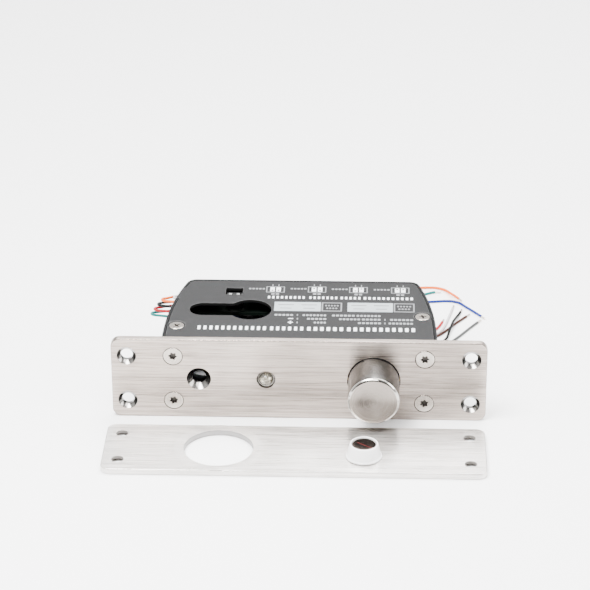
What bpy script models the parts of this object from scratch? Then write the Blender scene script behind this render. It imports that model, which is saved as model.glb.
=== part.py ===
"""Electric bolt lock for a euro-profile cylinder, with its loose strike plate.

The lock stands on the lower long edge of its faceplate, faceplate towards -Y, bolt thrown.
The strike plate lies flat in front of it, rear side up. Lengths are in millimetres in the
constants below and are turned into metres where the meshes are made.
Inside the lock's own frame: X along the faceplate, Y into the case (0 = front face of the
faceplate), Z up (0 = the surface that everything stands on).
"""
import math

import bmesh
import bpy
from mathutils import Matrix, Vector

MM = 0.001
GAP = 0.3                      # clearance between pieces that touch

# placing of the lock on the table
LOCK_Y = -6.75                 # the whole assembly is centred on Y = 0
MID_Z = 17.5                   # centre height of the faceplate

# faceplate
PLATE_L, PLATE_W, PLATE_T, PLATE_R = 150.0, 35.0, 3.0, 3.6
MOUNT_X, MOUNT_Z, MOUNT_R, MOUNT_CSK = 68.75, 10.0, 2.45, 3.8
FIX_X, FIX_R, FIX_CSK = 50.25, 2.3, 4.3
CYL_SCREW_X, CYL_SCREW_R, CYL_SCREW_CSK = -40.0, 2.8, 4.8
LED_X, LED_HOLE_R = -13.1, 3.6
BOLT_X, BOLT_R, BOLT_HOLE_R = 30.0, 10.25, 10.8
BOLT_FRONT, BOLT_REAR, BOLT_TRAVEL = -17.2, 14.0, 17.0

# case
CASE_Y0, CASE_Y1 = 3.3, 59.4
CASE_Z0, CASE_Z1 = 2.5, 32.5
CASE_HALF_FRONT, CASE_HALF_BACK = 55.15, 44.0
WALL, FLOOR, RIM = 2.4, 2.0, 1.1
COVER_Z0 = 31.3
EURO_X, EURO_Y, EURO_R, EURO_TAIL_R, EURO_TAIL_X = -20.9, 32.1, 8.75, 5.4, -40.3
TAB_Y0, TAB_Y1 = 42.0, 51.7
COVER_SCREWS = ((-49.9, 17.7), (49.5, 28.0))
DIP_X, DIP_Y, DIP_W, DIP_D = -28.25, 48.5, 7.05, 5.8

# solenoid
SOL_X = 7.0

# strike plate
STRIKE_X, STRIKE_Y, STRIKE_T = -0.7, -28.4, 2.5
STRIKE_HOLE_X, STRIKE_HOLE_R = -29.9, 13.6
MAGNET_X, MAGNET_Y = 27.2, -5.3

# wires
WIRE_R = 0.55
WIRE_POINTS = 46


# ---------------------------------------------------------------- scene
for old in list(bpy.data.objects):
    bpy.data.objects.remove(old, do_unlink=True)

parts = bpy.data.collections.new("electric_bolt_lock")
cutters = bpy.data.collections.new("cutters")
bpy.context.scene.collection.children.link(parts)
bpy.context.scene.collection.children.link(cutters)


def empty(name, x, y, z, parent=None):
    e = bpy.data.objects.new(name, None)
    e.empty_display_size = 0.01
    e.location = (x * MM, y * MM, z * MM)
    e.parent = parent
    parts.objects.link(e)
    return e


def material(name, rgb, rough, metal, alpha=1.0, transmission=0.0):
    m = bpy.data.materials.new(name)
    m.use_nodes = True
    b = m.node_tree.nodes["Principled BSDF"]
    b.inputs["Base Color"].default_value = (*rgb, 1.0)
    b.inputs["Roughness"].default_value = rough
    b.inputs["Metallic"].default_value = metal
    b.inputs["Alpha"].default_value = alpha
    b.inputs["Transmission Weight"].default_value = transmission
    m.diffuse_color = (*rgb, 1.0)
    return m


def finish(obj, mat, parent, smooth=True, collection=None):
    (collection or parts).objects.link(obj)
    obj.parent = parent
    if mat is not None:
        obj.data.materials.clear()
        obj.data.materials.append(mat)
    if smooth and obj.type == "MESH":
        obj.data.shade_smooth()
        obj.data.set_sharp_from_angle(angle=math.radians(32))
    return obj


def as_cutter(obj):
    obj.hide_render = True
    obj.display_type = "WIRE"
    return obj


def cut(obj, cutter, operation="DIFFERENCE"):
    m = obj.modifiers.new("cut_" + cutter.name[:40], "BOOLEAN")
    m.operation = operation
    m.object = cutter
    m.solver = "EXACT"


# ---------------------------------------------------------------- shape makers
def mesh_object(name, bm):
    bmesh.ops.recalc_face_normals(bm, faces=bm.faces[:])
    me = bpy.data.meshes.new(name)
    bm.to_mesh(me)
    bm.free()
    return bpy.data.objects.new(name, me)


def add_cone(bm, r1, r2, p0, p1, seg=32):
    """A frustum from p0 (radius r1) to p1 (radius r2), in millimetres."""
    a, b = Vector(p0) * MM, Vector(p1) * MM
    d = b - a
    rot = Vector((0, 0, 1)).rotation_difference(d).to_matrix().to_4x4()
    bmesh.ops.create_cone(bm, cap_ends=True, cap_tris=False, segments=seg,
                          radius1=r1 * MM, radius2=r2 * MM, depth=d.length,
                          matrix=Matrix.Translation((a + b) / 2) @ rot)


def add_box(bm, lo, hi, turn=0.0, pivot=None):
    """A box between two corners in millimetres, turned about Z round a pivot."""
    lo, hi = Vector(lo), Vector(hi)
    c, s = (lo + hi) / 2, hi - lo
    m = Matrix.Translation(c * MM) @ Matrix.Diagonal((s.x * MM, s.y * MM, s.z * MM, 1))
    if turn:
        p = Vector(pivot) * MM
        m = Matrix.Translation(p) @ Matrix.Rotation(turn, 4, "Z") @ Matrix.Translation(-p) @ m
    bmesh.ops.create_cube(bm, size=1.0, matrix=m)


def circle(cx, cy, r, n=32):
    return [(cx + r * math.cos(2 * math.pi * i / n), cy + r * math.sin(2 * math.pi * i / n))
            for i in range(n)]


def arc(cx, cy, r, a0, a1, n):
    return [(cx + r * math.cos(math.radians(a0 + (a1 - a0) * i / n)),
             cy + r * math.sin(math.radians(a0 + (a1 - a0) * i / n))) for i in range(n + 1)]


def rounded_rect(w, h, r, n=5, cx=0.0, cy=0.0):
    pts = []
    for sx, sy, a in ((1, 1, 0), (-1, 1, 90), (-1, -1, 180), (1, -1, 270)):
        pts += arc(cx + sx * (w / 2 - r), cy + sy * (h / 2 - r), r, a, a + 90, n)
    return pts


PLANES = {
    "XY": Matrix.Identity(4),
    # outline x -> X, outline y -> Z, thickness along Y
    "XZ": Matrix(((1, 0, 0, 0), (0, 0, 1, 0), (0, 1, 0, 0), (0, 0, 0, 1))),
    # outline x -> Y, outline y -> Z, thickness along X
    "YZ": Matrix(((0, 0, 1, 0), (1, 0, 0, 0), (0, 1, 0, 0), (0, 0, 0, 1))),
}


def flat(name, outlines, low, high, plane="XY", bevel=0.0):
    """A flat outline (first the rim, then its holes) made solid between two levels."""
    cu = bpy.data.curves.new(name + "_outline", "CURVE")
    cu.dimensions = "2D"
    cu.fill_mode = "BOTH"
    cu.extrude = (high - low) / 2 * MM
    for pts in outlines:
        sp = cu.splines.new("POLY")
        sp.points.add(len(pts) - 1)
        for p, (x, y) in zip(sp.points, pts):
            p.co = (x * MM, y * MM, 0, 1)
        sp.use_cyclic_u = True
    tmp = bpy.data.objects.new(name + "_outline", cu)
    bpy.context.scene.collection.objects.link(tmp)
    bpy.context.view_layer.update()
    dg = bpy.context.evaluated_depsgraph_get()
    me = bpy.data.meshes.new_from_object(tmp.evaluated_get(dg), depsgraph=dg)
    me.name = name
    bm = bmesh.new()
    bm.from_mesh(me)
    bmesh.ops.remove_doubles(bm, verts=bm.verts[:], dist=1e-6)
    bmesh.ops.transform(bm, matrix=PLANES[plane] @ Matrix.Translation((0, 0, (low + high) / 2 * MM)),
                        verts=bm.verts[:])
    bmesh.ops.recalc_face_normals(bm, faces=bm.faces[:])
    if bevel:
        bmesh.ops.dissolve_limit(bm, angle_limit=math.radians(1), verts=bm.verts[:], edges=bm.edges[:])
        edges = [e for e in bm.edges if len(e.link_faces) == 2
                 and e.calc_face_angle(0.0) > math.radians(60)]
        bmesh.ops.bevel(bm, geom=edges, offset=bevel * MM, segments=2, affect="EDGES",
                        profile=0.5, clamp_overlap=True)
    bm.to_mesh(me)
    bm.free()
    bpy.data.objects.remove(tmp, do_unlink=True)
    bpy.data.curves.remove(cu)
    return bpy.data.objects.new(name, me)


def turned(name, profile, at, axis="Z", steps=32):
    """A turned solid. The profile lists (radius, height), top to bottom, on the outer side."""
    me = bpy.data.meshes.new(name)
    bm = bmesh.new()
    vs = [bm.verts.new((r * MM, 0, h * MM)) for r, h in profile]
    for a, b in zip(vs, vs[1:]):
        bm.edges.new((a, b))
    bm.to_mesh(me)
    bm.free()
    obj = bpy.data.objects.new(name, me)
    s = obj.modifiers.new("turn", "SCREW")
    s.axis = "Z"
    s.angle = 2 * math.pi
    s.steps = steps
    s.render_steps = steps
    s.use_merge_vertices = True
    s.merge_threshold = 0.00001
    s.use_smooth_shade = True
    obj.location = Vector(at) * MM
    if axis == "-Y":            # the profile's top points at the viewer side
        obj.rotation_euler = (math.radians(90), 0, 0)
    elif axis == "X":
        obj.rotation_euler = (0, math.radians(90), 0)
    elif axis == "-Z":
        obj.rotation_euler = (math.radians(180), 0, 0)
    return obj


def smooth_path(route, count):
    """Evenly spaced points on one smooth curve through the route's own points."""
    pts = [Vector(p) for p in route]
    pts = [2 * pts[0] - pts[1]] + pts + [2 * pts[-1] - pts[-2]]
    fine = []
    for i in range(1, len(pts) - 2):
        p0, p1, p2, p3 = pts[i - 1:i + 3]
        t0 = 0.0
        t1 = t0 + math.sqrt((p1 - p0).length)
        t2 = t1 + math.sqrt((p2 - p1).length)
        t3 = t2 + math.sqrt((p3 - p2).length)
        for k in range(24):
            t = t1 + (t2 - t1) * k / 24
            a1 = p0 * ((t1 - t) / (t1 - t0)) + p1 * ((t - t0) / (t1 - t0))
            a2 = p1 * ((t2 - t) / (t2 - t1)) + p2 * ((t - t1) / (t2 - t1))
            a3 = p2 * ((t3 - t) / (t3 - t2)) + p3 * ((t - t2) / (t3 - t2))
            b1 = a1 * ((t2 - t) / (t2 - t0)) + a2 * ((t - t0) / (t2 - t0))
            b2 = a2 * ((t3 - t) / (t3 - t1)) + a3 * ((t - t1) / (t3 - t1))
            fine.append(b1 * ((t2 - t) / (t2 - t1)) + b2 * ((t - t1) / (t2 - t1)))
    fine.append(pts[-2])
    run = [0.0]
    for a, b in zip(fine, fine[1:]):
        run.append(run[-1] + (b - a).length)
    out, j = [], 0
    for k in range(count):
        s = run[-1] * k / (count - 1)
        while j < len(run) - 2 and run[j + 1] < s:
            j += 1
        u = (s - run[j]) / max(run[j + 1] - run[j], 1e-9)
        out.append(fine[j].lerp(fine[j + 1], min(u, 1.0)))
    return out


def tube(name, points, radius, mat, parent):
    cu = bpy.data.curves.new(name, "CURVE")
    cu.dimensions = "3D"
    cu.bevel_depth = radius * MM
    cu.bevel_resolution = 2
    cu.use_fill_caps = True
    sp = cu.splines.new("POLY")
    sp.points.add(len(points) - 1)
    for p, q in zip(sp.points, points):
        p.co = (q[0] * MM, q[1] * MM, q[2] * MM, 1)
    obj = bpy.data.objects.new(name, cu)
    cu.materials.append(mat)
    parts.objects.link(obj)
    obj.parent = parent
    return obj


# ---------------------------------------------------------------- materials
steel = material("stainless", (0.62, 0.61, 0.59), 0.34, 1.0)
steel_strike = material("stainless_strike", (0.70, 0.69, 0.67), 0.36, 1.0)
bright = material("turned_steel", (0.66, 0.65, 0.63), 0.22, 1.0)
screw_steel = material("screw_steel", (0.60, 0.59, 0.57), 0.30, 1.0)
case_grey = material("case_grey", (0.075, 0.075, 0.075), 0.5, 0.3)
cover_grey = material("cover_grey", (0.21, 0.21, 0.21), 0.5, 0.2)
black = material("black_plastic", (0.02, 0.02, 0.02), 0.5, 0.0)
white_plastic = material("white_plastic", (0.8, 0.8, 0.8), 0.45, 0.0)
clear = material("led_clear", (0.75, 0.74, 0.72), 0.08, 0.0, 1.0, 0.4)
copper = material("enamelled_wire", (0.48, 0.2, 0.07), 0.35, 0.6)
zinc = material("zinc", (0.5, 0.5, 0.48), 0.35, 1.0)
brass = material("brass", (0.7, 0.5, 0.22), 0.3, 1.0)
board_green = material("board_green", (0.02, 0.16, 0.07), 0.45, 0.0)
relay_blue = material("relay_blue", (0.03, 0.09, 0.4), 0.4, 0.0)
magnet_grey = material("magnet_grey", (0.16, 0.14, 0.13), 0.35, 0.8)
glass = material("glass", (0.6, 0.7, 0.62), 0.05, 0.0, 0.5, 0.6)
rubber = material("rubber", (0.02, 0.02, 0.02), 0.8, 0.0)

lock = empty("lock_frame", 0, LOCK_Y, 0)
bolt_axis = empty("bolt_axis", BOLT_X, 0, MID_Z, lock)
strike_frame = empty("strike_frame", STRIKE_X, STRIKE_Y, 0, lock)

# ---------------------------------------------------------------- faceplate
corner_holes = [(sx * MOUNT_X, MID_Z + sz * MOUNT_Z) for sx in (-1, 1) for sz in (-1, 1)]
fix_holes = [(sx * FIX_X, MID_Z + sz * MOUNT_Z) for sx in (-1, 1) for sz in (-1, 1)]

plate = flat("faceplate",
             [rounded_rect(PLATE_L, PLATE_W, PLATE_R, 6, 0, MID_Z)]
             + [circle(x, z, MOUNT_R, 24) for x, z in corner_holes]
             + [circle(x, z, FIX_R, 24) for x, z in fix_holes]
             + [circle(CYL_SCREW_X, MID_Z, CYL_SCREW_R, 28),
                circle(LED_X, MID_Z, LED_HOLE_R, 32),
                circle(BOLT_X, MID_Z, BOLT_HOLE_R, 56)],
             0, PLATE_T, "XZ")
bm = bmesh.new()
for x, z in corner_holes:
    add_cone(bm, MOUNT_CSK + 0.5, MOUNT_R - 0.3, (x, -0.5, z), (x, MOUNT_CSK - MOUNT_R + 0.3, z), 32)
for x, z in fix_holes:
    add_cone(bm, FIX_CSK + 0.5, FIX_R - 0.3, (x, -0.5, z), (x, FIX_CSK - FIX_R + 0.3, z), 32)
add_cone(bm, CYL_SCREW_CSK + 0.5, CYL_SCREW_R - 0.3, (CYL_SCREW_X, -0.5, MID_Z),
         (CYL_SCREW_X, CYL_SCREW_CSK - CYL_SCREW_R + 0.3, MID_Z), 36)
csk = as_cutter(finish(mesh_object("plate_countersinks", bm), None, lock, False, cutters))
cut(plate, csk)
finish(plate, steel, lock)

# ---------------------------------------------------------------- faceplate screws
def star_outline(cx, cy, r_out, r_in, lobes=6, n=6):
    pts = []
    total = lobes * n
    for i in range(total):
        a = 2 * math.pi * i / total
        r = (r_out + r_in) / 2 + (r_out - r_in) / 2 * math.cos(lobes * a)
        pts.append((cx + r * math.cos(a), cy + r * math.sin(a)))
    return pts


for k, (x, z) in enumerate(fix_holes, 1):
    head = turned("faceplate_screw_%d" % k, [(0, 0), (4.0, 0), (2.0, -2.0), (2.0, -12.0), (0, -12.0)],
                  (x, 0.05, z), "-Y", 28)
    socket = flat("star_socket_%d" % k, [star_outline(x, z, 1.72, 1.22)], -0.5, 1.5, "XZ")
    cut(head, as_cutter(finish(socket, None, lock, False, cutters)))
    finish(head, screw_steel, lock, False)


# ---------------------------------------------------------------- case outline
def half_width(y):
    """Half the case's width at depth y: nearly parallel at the front, drawn in at the back."""
    return CASE_HALF_FRONT - 5.09 * (max(y - 5.0, 0.0) / 45.8) ** 2.4


def case_side():
    side = [(half_width(y), y) for y in (CASE_Y0, 11, 18, 24, 29, 34, 38, 42, 46, 50, 53.5, 56.1)]
    x0, y0 = side[-1]
    cx, cy = 47.4, CASE_Y1
    for i in range(1, 6):
        t = i / 5
        side.append(((1 - t) ** 2 * x0 + 2 * t * (1 - t) * cx + t * t * CASE_HALF_BACK,
                     (1 - t) ** 2 * y0 + 2 * t * (1 - t) * cy + t * t * CASE_Y1))
    return side


def case_outline(inset):
    side = case_side()
    full = side + [(-x, y) for x, y in reversed(side)]
    if not inset:
        return full
    n, out = len(full), []
    for i, (x, y) in enumerate(full):
        a, b = Vector(full[i - 1]), Vector(full[(i + 1) % n])
        p = Vector((x, y))
        d1, d2 = (p - a).normalized(), (b - p).normalized()
        n1, n2 = Vector((-d1.y, d1.x)), Vector((-d2.y, d2.x))
        m = (n1 + n2).normalized()
        out.append(tuple(p + m * (inset / max(m.dot(n1), 0.3))))
    return out


def euro_outline(grow=0.0):
    r, t = EURO_R + grow, EURO_TAIL_R + grow
    a = math.degrees(math.asin(t / r))
    return (arc(EURO_X, EURO_Y, r, -180 + a, 180 - a, 36)
            + arc(EURO_TAIL_X, EURO_Y, t, 90, 270, 16))


# ---------------------------------------------------------------- case body
case = flat("case_body", [case_outline(0)], CASE_Z0, CASE_Z1)
cavity = as_cutter(finish(flat("case_cavity", [case_outline(WALL)], CASE_Z0 + FLOOR, 40), None, lock, False, cutters))
ledge = as_cutter(finish(flat("case_ledge", [case_outline(RIM)], COVER_Z0 - GAP, 40), None, lock, False, cutters))
cut(case, cavity)
bm = bmesh.new()
for x in (-1, 1):
    xs = sorted((x * 46.6, x * 54.0))
    add_box(bm, (xs[0], 4.2, 3.4), (xs[1], 12.4, 11.8))
    add_box(bm, (xs[0], 4.2, 23.2), (xs[1], 12.4, COVER_Z0 - GAP))
for x, y in COVER_SCREWS:
    add_cone(bm, 3.2, 3.2, (x, y, 3.4), (x, y, COVER_Z0 - GAP), 24)
for x, y in ((-40.5, 52.5), (-15.5, 52.5)):
    add_cone(bm, 2.3, 2.3, (x, y, 3.4), (x, y, 24.2), 20)
add_box(bm, (40.5, 38, 3.4), (44.5, 46, 7.7))
posts = as_cutter(finish(mesh_object("case_posts", bm), None, lock, False, cutters))
cut(case, posts, "UNION")
cut(case, ledge)
euro_cut = as_cutter(finish(flat("case_euro", [euro_outline()], 0, 12), None, lock, False, cutters))
cut(case, euro_cut)
bm = bmesh.new()
for x, z in fix_holes:
    add_cone(bm, 2.3, 2.3, (x, 0, z), (x, 14.5, z), 20)
add_cone(bm, BOLT_HOLE_R, BOLT_HOLE_R, (BOLT_X, 1, MID_Z), (BOLT_X, 9, MID_Z), 56)
add_cone(bm, 3.9, 3.9, (LED_X, 1, MID_Z), (LED_X, 9, MID_Z), 28)
add_cone(bm, 3.0, 3.0, (CYL_SCREW_X, 1, MID_Z), (CYL_SCREW_X, 9, MID_Z), 24)
for x, y in COVER_SCREWS:
    add_cone(bm, 1.8, 1.8, (x, y, 20), (x, y, 36), 16)
for x, y in ((-40.5, 52.5), (-15.5, 52.5)):
    add_cone(bm, 1.3, 1.3, (x, y, 16), (x, y, 30), 14)
for x in (SOL_X - 5, SOL_X + 5):
    add_cone(bm, 3.7, 1.3, (x, 45.4, 1.8), (x, 45.4, 4.2), 24)
holes = as_cutter(finish(mesh_object("case_holes", bm), None, lock, False, cutters))
cut(case, holes)
bm = bmesh.new()
for x in (SOL_X - 5, SOL_X + 5):
    add_cone(bm, 1.8, 1.8, (x, 45.4, 3.0), (x, 45.4, 8), 16)
more = as_cutter(finish(mesh_object("case_floor_holes", bm), None, lock, False, cutters))
cut(case, more)

# the wire slot in the left wall, under the cover's tab
WALL_TURN = math.atan2(half_width(TAB_Y0) - half_width(TAB_Y1), TAB_Y1 - TAB_Y0)
SLOT_MID = (-(half_width(46.85)), 46.85, 25.0)
bm = bmesh.new()
add_box(bm, (SLOT_MID[0] - 3, 42.7, 18.0), (SLOT_MID[0] + 4, 51.0, 36.0), -WALL_TURN, SLOT_MID)
slot = as_cutter(finish(mesh_object("wire_slot", bm), None, lock, False, cutters))
cut(case, slot)
bm = bmesh.new()
add_box(bm, (-54.5, TAB_Y0 - GAP, COVER_Z0 - GAP), (-46.5, TAB_Y1 + GAP, 36))
notch = as_cutter(finish(mesh_object("tab_notch", bm), None, lock, False, cutters))
cut(case, notch)
finish(case, case_grey, lock)

bm = bmesh.new()
add_box(bm, (SLOT_MID[0] + 0.15, 43.0, 18.3), (SLOT_MID[0] + 3.4, 50.7, 30.7), -WALL_TURN, SLOT_MID)
finish(mesh_object("wire_grommet", bm), rubber, lock, False)

# ---------------------------------------------------------------- case cover
cover_rim = case_outline(RIM + GAP)


def cover_outline():
    """The inset outline with the tab that reaches out over the left wall."""
    out, left = [], False
    for x, y in cover_rim:
        if x < -40 and TAB_Y0 < y < TAB_Y1 and y > 30:
            continue
        if x < -40 and y <= TAB_Y0 and not left:
            left = True
            inner = RIM + GAP
            for ty in (TAB_Y1, 50.0, 48.0, 46.0, 44.0, TAB_Y0):
                if ty == TAB_Y1:
                    out.append((-(half_width(ty) - inner), ty))
                out.append((-(half_width(ty) - 0.05), ty))
                if ty == TAB_Y0:
                    out.append((-(half_width(ty) - inner), ty))
        out.append((x, y))
    return out


cover = flat("case_cover",
             [cover_outline(), euro_outline(0.0),
              rounded_rect(DIP_W, DIP_D, 0.4, 3, DIP_X, DIP_Y)]
             + [circle(x, y, 1.8, 20) for x, y in COVER_SCREWS],
             COVER_Z0, CASE_Z1)
bm = bmesh.new()
for x, y in COVER_SCREWS:
    add_cone(bm, 1.6, 4.0, (x, y, COVER_Z0 - 0.7), (x, y, CASE_Z1 + 0.7), 36)
cover_csk = as_cutter(finish(mesh_object("cover_countersinks", bm), None, lock, False, cutters))
cut(cover, cover_csk)
finish(cover, cover_grey, lock)

# two flat-head screws with a cross recess
def cross_outline(cx, cy, arm, half, turn):
    pts = []
    for q in range(4):
        a = math.radians(turn + 90 * q)
        for px, py in ((arm, -half), (arm, half), (half, half)):
            pts.append((cx + px * math.cos(a) - py * math.sin(a),
                        cy + px * math.sin(a) + py * math.cos(a)))
    return pts


for k, ((x, y), turn) in enumerate(zip(COVER_SCREWS, (38, 12)), 1):
    cscrew = turned("cover_screw_%d" % k, [(0, 0), (2.97, 0), (1.4, -1.57), (1.4, -10.0), (0, -10.0)],
                    (x, y, CASE_Z1 - 0.18), "Z", 32)
    cross = flat("cross_recess_%d" % k, [cross_outline(x, y, 1.65, 0.34, turn)], CASE_Z1 - 1.3, CASE_Z1 + 1)
    cut(cscrew, as_cutter(finish(cross, None, lock, False, cutters)))
    finish(cscrew, screw_steel, lock, False)

# ---------------------------------------------------------------- bolt and its train
L = BOLT_REAR - BOLT_FRONT
bolt = turned("bolt", [(0, 0), (BOLT_R - 0.85, 0), (BOLT_R - 0.4, -0.12), (BOLT_R, -0.75), (BOLT_R, -L + 0.3), (BOLT_R - 0.3, -L),
                       (2.3, -L), (2.3, -L + 9), (0, -L + 9)],
              (0, BOLT_FRONT, 0), "-Y", 56)
finish(bolt, bright, bolt_axis, False)

bm = bmesh.new()
add_box(bm, (17.5, 6.0, 4.8), (42.5, 12.5, COVER_Z0 - GAP - GAP))
guide = mesh_object("bolt_guide", bm)
bm = bmesh.new()
add_cone(bm, BOLT_R + 0.3, BOLT_R + 0.3, (BOLT_X, 4, MID_Z), (BOLT_X, 15, MID_Z), 56)
cut(guide, as_cutter(finish(mesh_object("bolt_guide_bore", bm), None, lock, False, cutters)))
finish(guide, brass, lock)

link = flat("link_plate", [[(-11.3, 14.3), (45.5, 14.3), (45.5, 16.8), (-8.8, 16.8), (-8.8, 23.3), (-11.3, 23.3)]],
            12.5, 22.5)
bm = bmesh.new()
add_cone(bm, 2.3, 2.3, (BOLT_X, 12, MID_Z), (BOLT_X, 19, MID_Z), 20)
add_cone(bm, 2.3, 2.3, (SOL_X, 12, MID_Z), (SOL_X, 19, MID_Z), 20)
cut(link, as_cutter(finish(mesh_object("link_holes", bm), None, lock, False, cutters)))
finish(link, zinc, lock)

screw = turned("link_screw", [(0, 12.2), (2.0, 12.2), (2.0, 2.5), (3.5, 2.5), (3.5, 0), (1.6, 0), (1.6, 1.4), (0, 1.4)],
               (BOLT_X, 19.6, MID_Z), "-Y", 24)
finish(screw, zinc, lock, False)

plunger = turned("solenoid_plunger",
                 [(0, 26.0), (2.0, 26.0), (2.0, 20.4), (4.0, 20.4), (4.0, 0.4), (3.6, 0), (0, 0)],
                 (SOL_X, 37.5, MID_Z), "-Y", 28)
finish(plunger, zinc, lock, False)
clip = turned("plunger_clip", [(2.3, 1.0), (4.2, 1.0), (4.2, 0), (2.3, 0), (2.3, 1.0)],
              (SOL_X, 13.9, MID_Z), "-Y", 24)
finish(clip, zinc, lock, False)

frame_part = flat("solenoid_frame",
                  [[(34.4, 4.8), (56.5, 4.8), (56.5, 27.0), (55.0, 27.0), (55.0, 6.3), (35.9, 6.3), (35.9, 27.0), (34.4, 27.0)]],
                  SOL_X - 10, SOL_X + 10, "YZ")
bm = bmesh.new()
add_cone(bm, 4.4, 4.4, (SOL_X, 33, MID_Z), (SOL_X, 38, MID_Z), 28)
for x in (SOL_X - 5, SOL_X + 5):
    add_cone(bm, 1.8, 1.8, (x, 45.4, 3), (x, 45.4, 7), 16)
cut(frame_part, as_cutter(finish(mesh_object("solenoid_frame_holes", bm), None, lock, False, cutters)))
finish(frame_part, zinc, lock)

coil = turned("solenoid_coil",
              [(4.4, 18.4), (10.0, 18.4), (10.0, 17.2), (9.0, 17.2), (9.0, 1.2), (10.0, 1.2), (10.0, 0), (4.4, 0), (4.4, 18.4)],
              (SOL_X, 54.7, MID_Z), "-Y", 32)
finish(coil, copper, lock, False)

for k, x in enumerate((SOL_X - 5, SOL_X + 5), 1):
    sscrew = turned("solenoid_screw_%d" % k, [(0, 0), (2.9, 0), (1.4, -1.5), (1.4, -4.6), (0, -4.6)],
                    (x, 45.4, CASE_Z0 + 0.1), "-Z", 24)
    cross = flat("solenoid_cross_%d" % k, [cross_outline(x, 45.4, 1.5, 0.32, 20 * k)], 2.0, 3.5)
    cut(sscrew, as_cutter(finish(cross, None, lock, False, cutters)))
    finish(sscrew, screw_steel, lock, False)

guide_pin = turned("spring_guide_pin", [(0, 18.7), (2.3, 18.7), (2.75, 18.2), (2.75, 0), (0, 0)],
                   (BOLT_X, 56.7, MID_Z), "-Y", 20)
finish(guide_pin, zinc, lock, False)

SPRING_TURNS, SPRING_R, SPRING_WIRE = 9, 5.0, 0.5
spring_pts = []
for i in range(SPRING_TURNS * 10 + 1):
    a = 2 * math.pi * i / 10
    f = i / (SPRING_TURNS * 10)
    spring_pts.append((BOLT_X + SPRING_R * math.cos(a), 17.8 + f * (56.0 - 17.8), MID_Z + SPRING_R * math.sin(a)))
tube("return_spring", spring_pts, SPRING_WIRE, zinc, lock)

# ---------------------------------------------------------------- board, switches, sensor
board = flat("circuit_board", [[(-43.5, 42), (-12.5, 42), (-12.5, 55), (-43.5, 55)],
                               circle(-40.5, 52.5, 1.3, 14), circle(-15.5, 52.5, 1.3, 14)], 24.5, 26.1)
finish(board, board_green, lock)
for k, x in enumerate((-40.5, -15.5), 1):
    bscrew = turned("board_screw_%d" % k, [(0, 0), (1.9, 0), (2.1, -0.3), (2.1, -1.2), (1.0, -1.2), (1.0, -9.6), (0, -9.6)],
                    (x, 52.5, 27.6), "Z", 18)
    finish(bscrew, zinc, lock, False)

bm = bmesh.new()
add_box(bm, (DIP_X - 3.3, DIP_Y - 2.7, 26.4), (DIP_X + 3.3, DIP_Y + 2.7, 30.6))
dip = mesh_object("dip_switch_body", bm)
bm = bmesh.new()
for sx in (-1, 1):
    add_box(bm, (DIP_X + sx * 1.6 - 0.95, DIP_Y - 1.9, 29.4), (DIP_X + sx * 1.6 + 0.95, DIP_Y + 1.9, 32))
cut(dip, as_cutter(finish(mesh_object("dip_slots", bm), None, lock, False, cutters)))
finish(dip, black, lock, False)
for k, sx in ((1, -1), (2, 1)):
    pivot = empty("dip_slider_%d_slide" % k, DIP_X + sx * 1.6, DIP_Y - 0.9, 29.7, lock)
    bm = bmesh.new()
    add_box(bm, (-0.6, -0.65, 0), (0.6, 0.65, 2.0))
    finish(mesh_object("dip_slider_%d" % k, bm), white_plastic, pivot, False)

bm = bmesh.new()
add_box(bm, (-37.5, 47.6, 12.0), (-25.8, 54.8, 24.2))
finish(mesh_object("relay", bm), relay_blue, lock, False)
cap = turned("capacitor", [(0, 12.2), (3.5, 12.2), (3.5, 0.4), (3.2, 0), (0, 0)], (-21.6, 51.3, 12.0), "Z", 24)
finish(cap, black, lock, False)

bm = bmesh.new()
add_box(bm, (39.5, 36.0, 8.0), (45.5, 48.0, 19.5))
bswitch = mesh_object("bolt_switch_body", bm)
bm = bmesh.new()
add_cone(bm, 1.3, 1.3, (42.5, 35, 15.5), (42.5, 39, 15.5), 16)
cut(bswitch, as_cutter(finish(mesh_object("bolt_switch_bore", bm), None, lock, False, cutters)))
finish(bswitch, black, lock, False)
button_axis = empty("switch_button_axis", 42.5, 34.4, 15.5, lock)
button = turned("bolt_switch_button", [(0, 0), (0.8, 0), (1.0, -0.2), (1.0, -3.2), (0, -3.2)], (0, 0, 0), "-Y", 16)
finish(button, white_plastic, button_axis, False)

bm = bmesh.new()
add_box(bm, (-35, 6.0, 13.5), (-19, 7.5, 21.5))
finish(mesh_object("reed_holder", bm), black, lock, False)
reed = turned("reed_switch", [(0, 7.0), (0.7, 6.9), (1.2, 6.2), (1.3, 5.4), (1.3, -5.4), (1.2, -6.2), (0.7, -6.9), (0, -7.0)],
              (-27, 9.1, MID_Z), "X", 18)
finish(reed, glass, lock, False)

# ---------------------------------------------------------------- indicator light
holder = turned("led_holder", [(3.0, 9.0), (3.3, 9.0), (3.3, 0), (3.0, 0), (3.0, 9.0)], (LED_X, 9.6, MID_Z), "-Y", 32)
finish(holder, black, lock, False)
dome = [(0, 0)] + [(2.7 * math.sin(math.radians(a)), -2.7 * (1 - math.cos(math.radians(a)))) for a in (15, 30, 45, 60, 75, 90)]
led = turned("led_lens", dome + [(2.7, -11.1), (0, -11.1)], (LED_X, -2.0, MID_Z), "-Y", 32)
finish(led, clear, lock, False)

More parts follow.
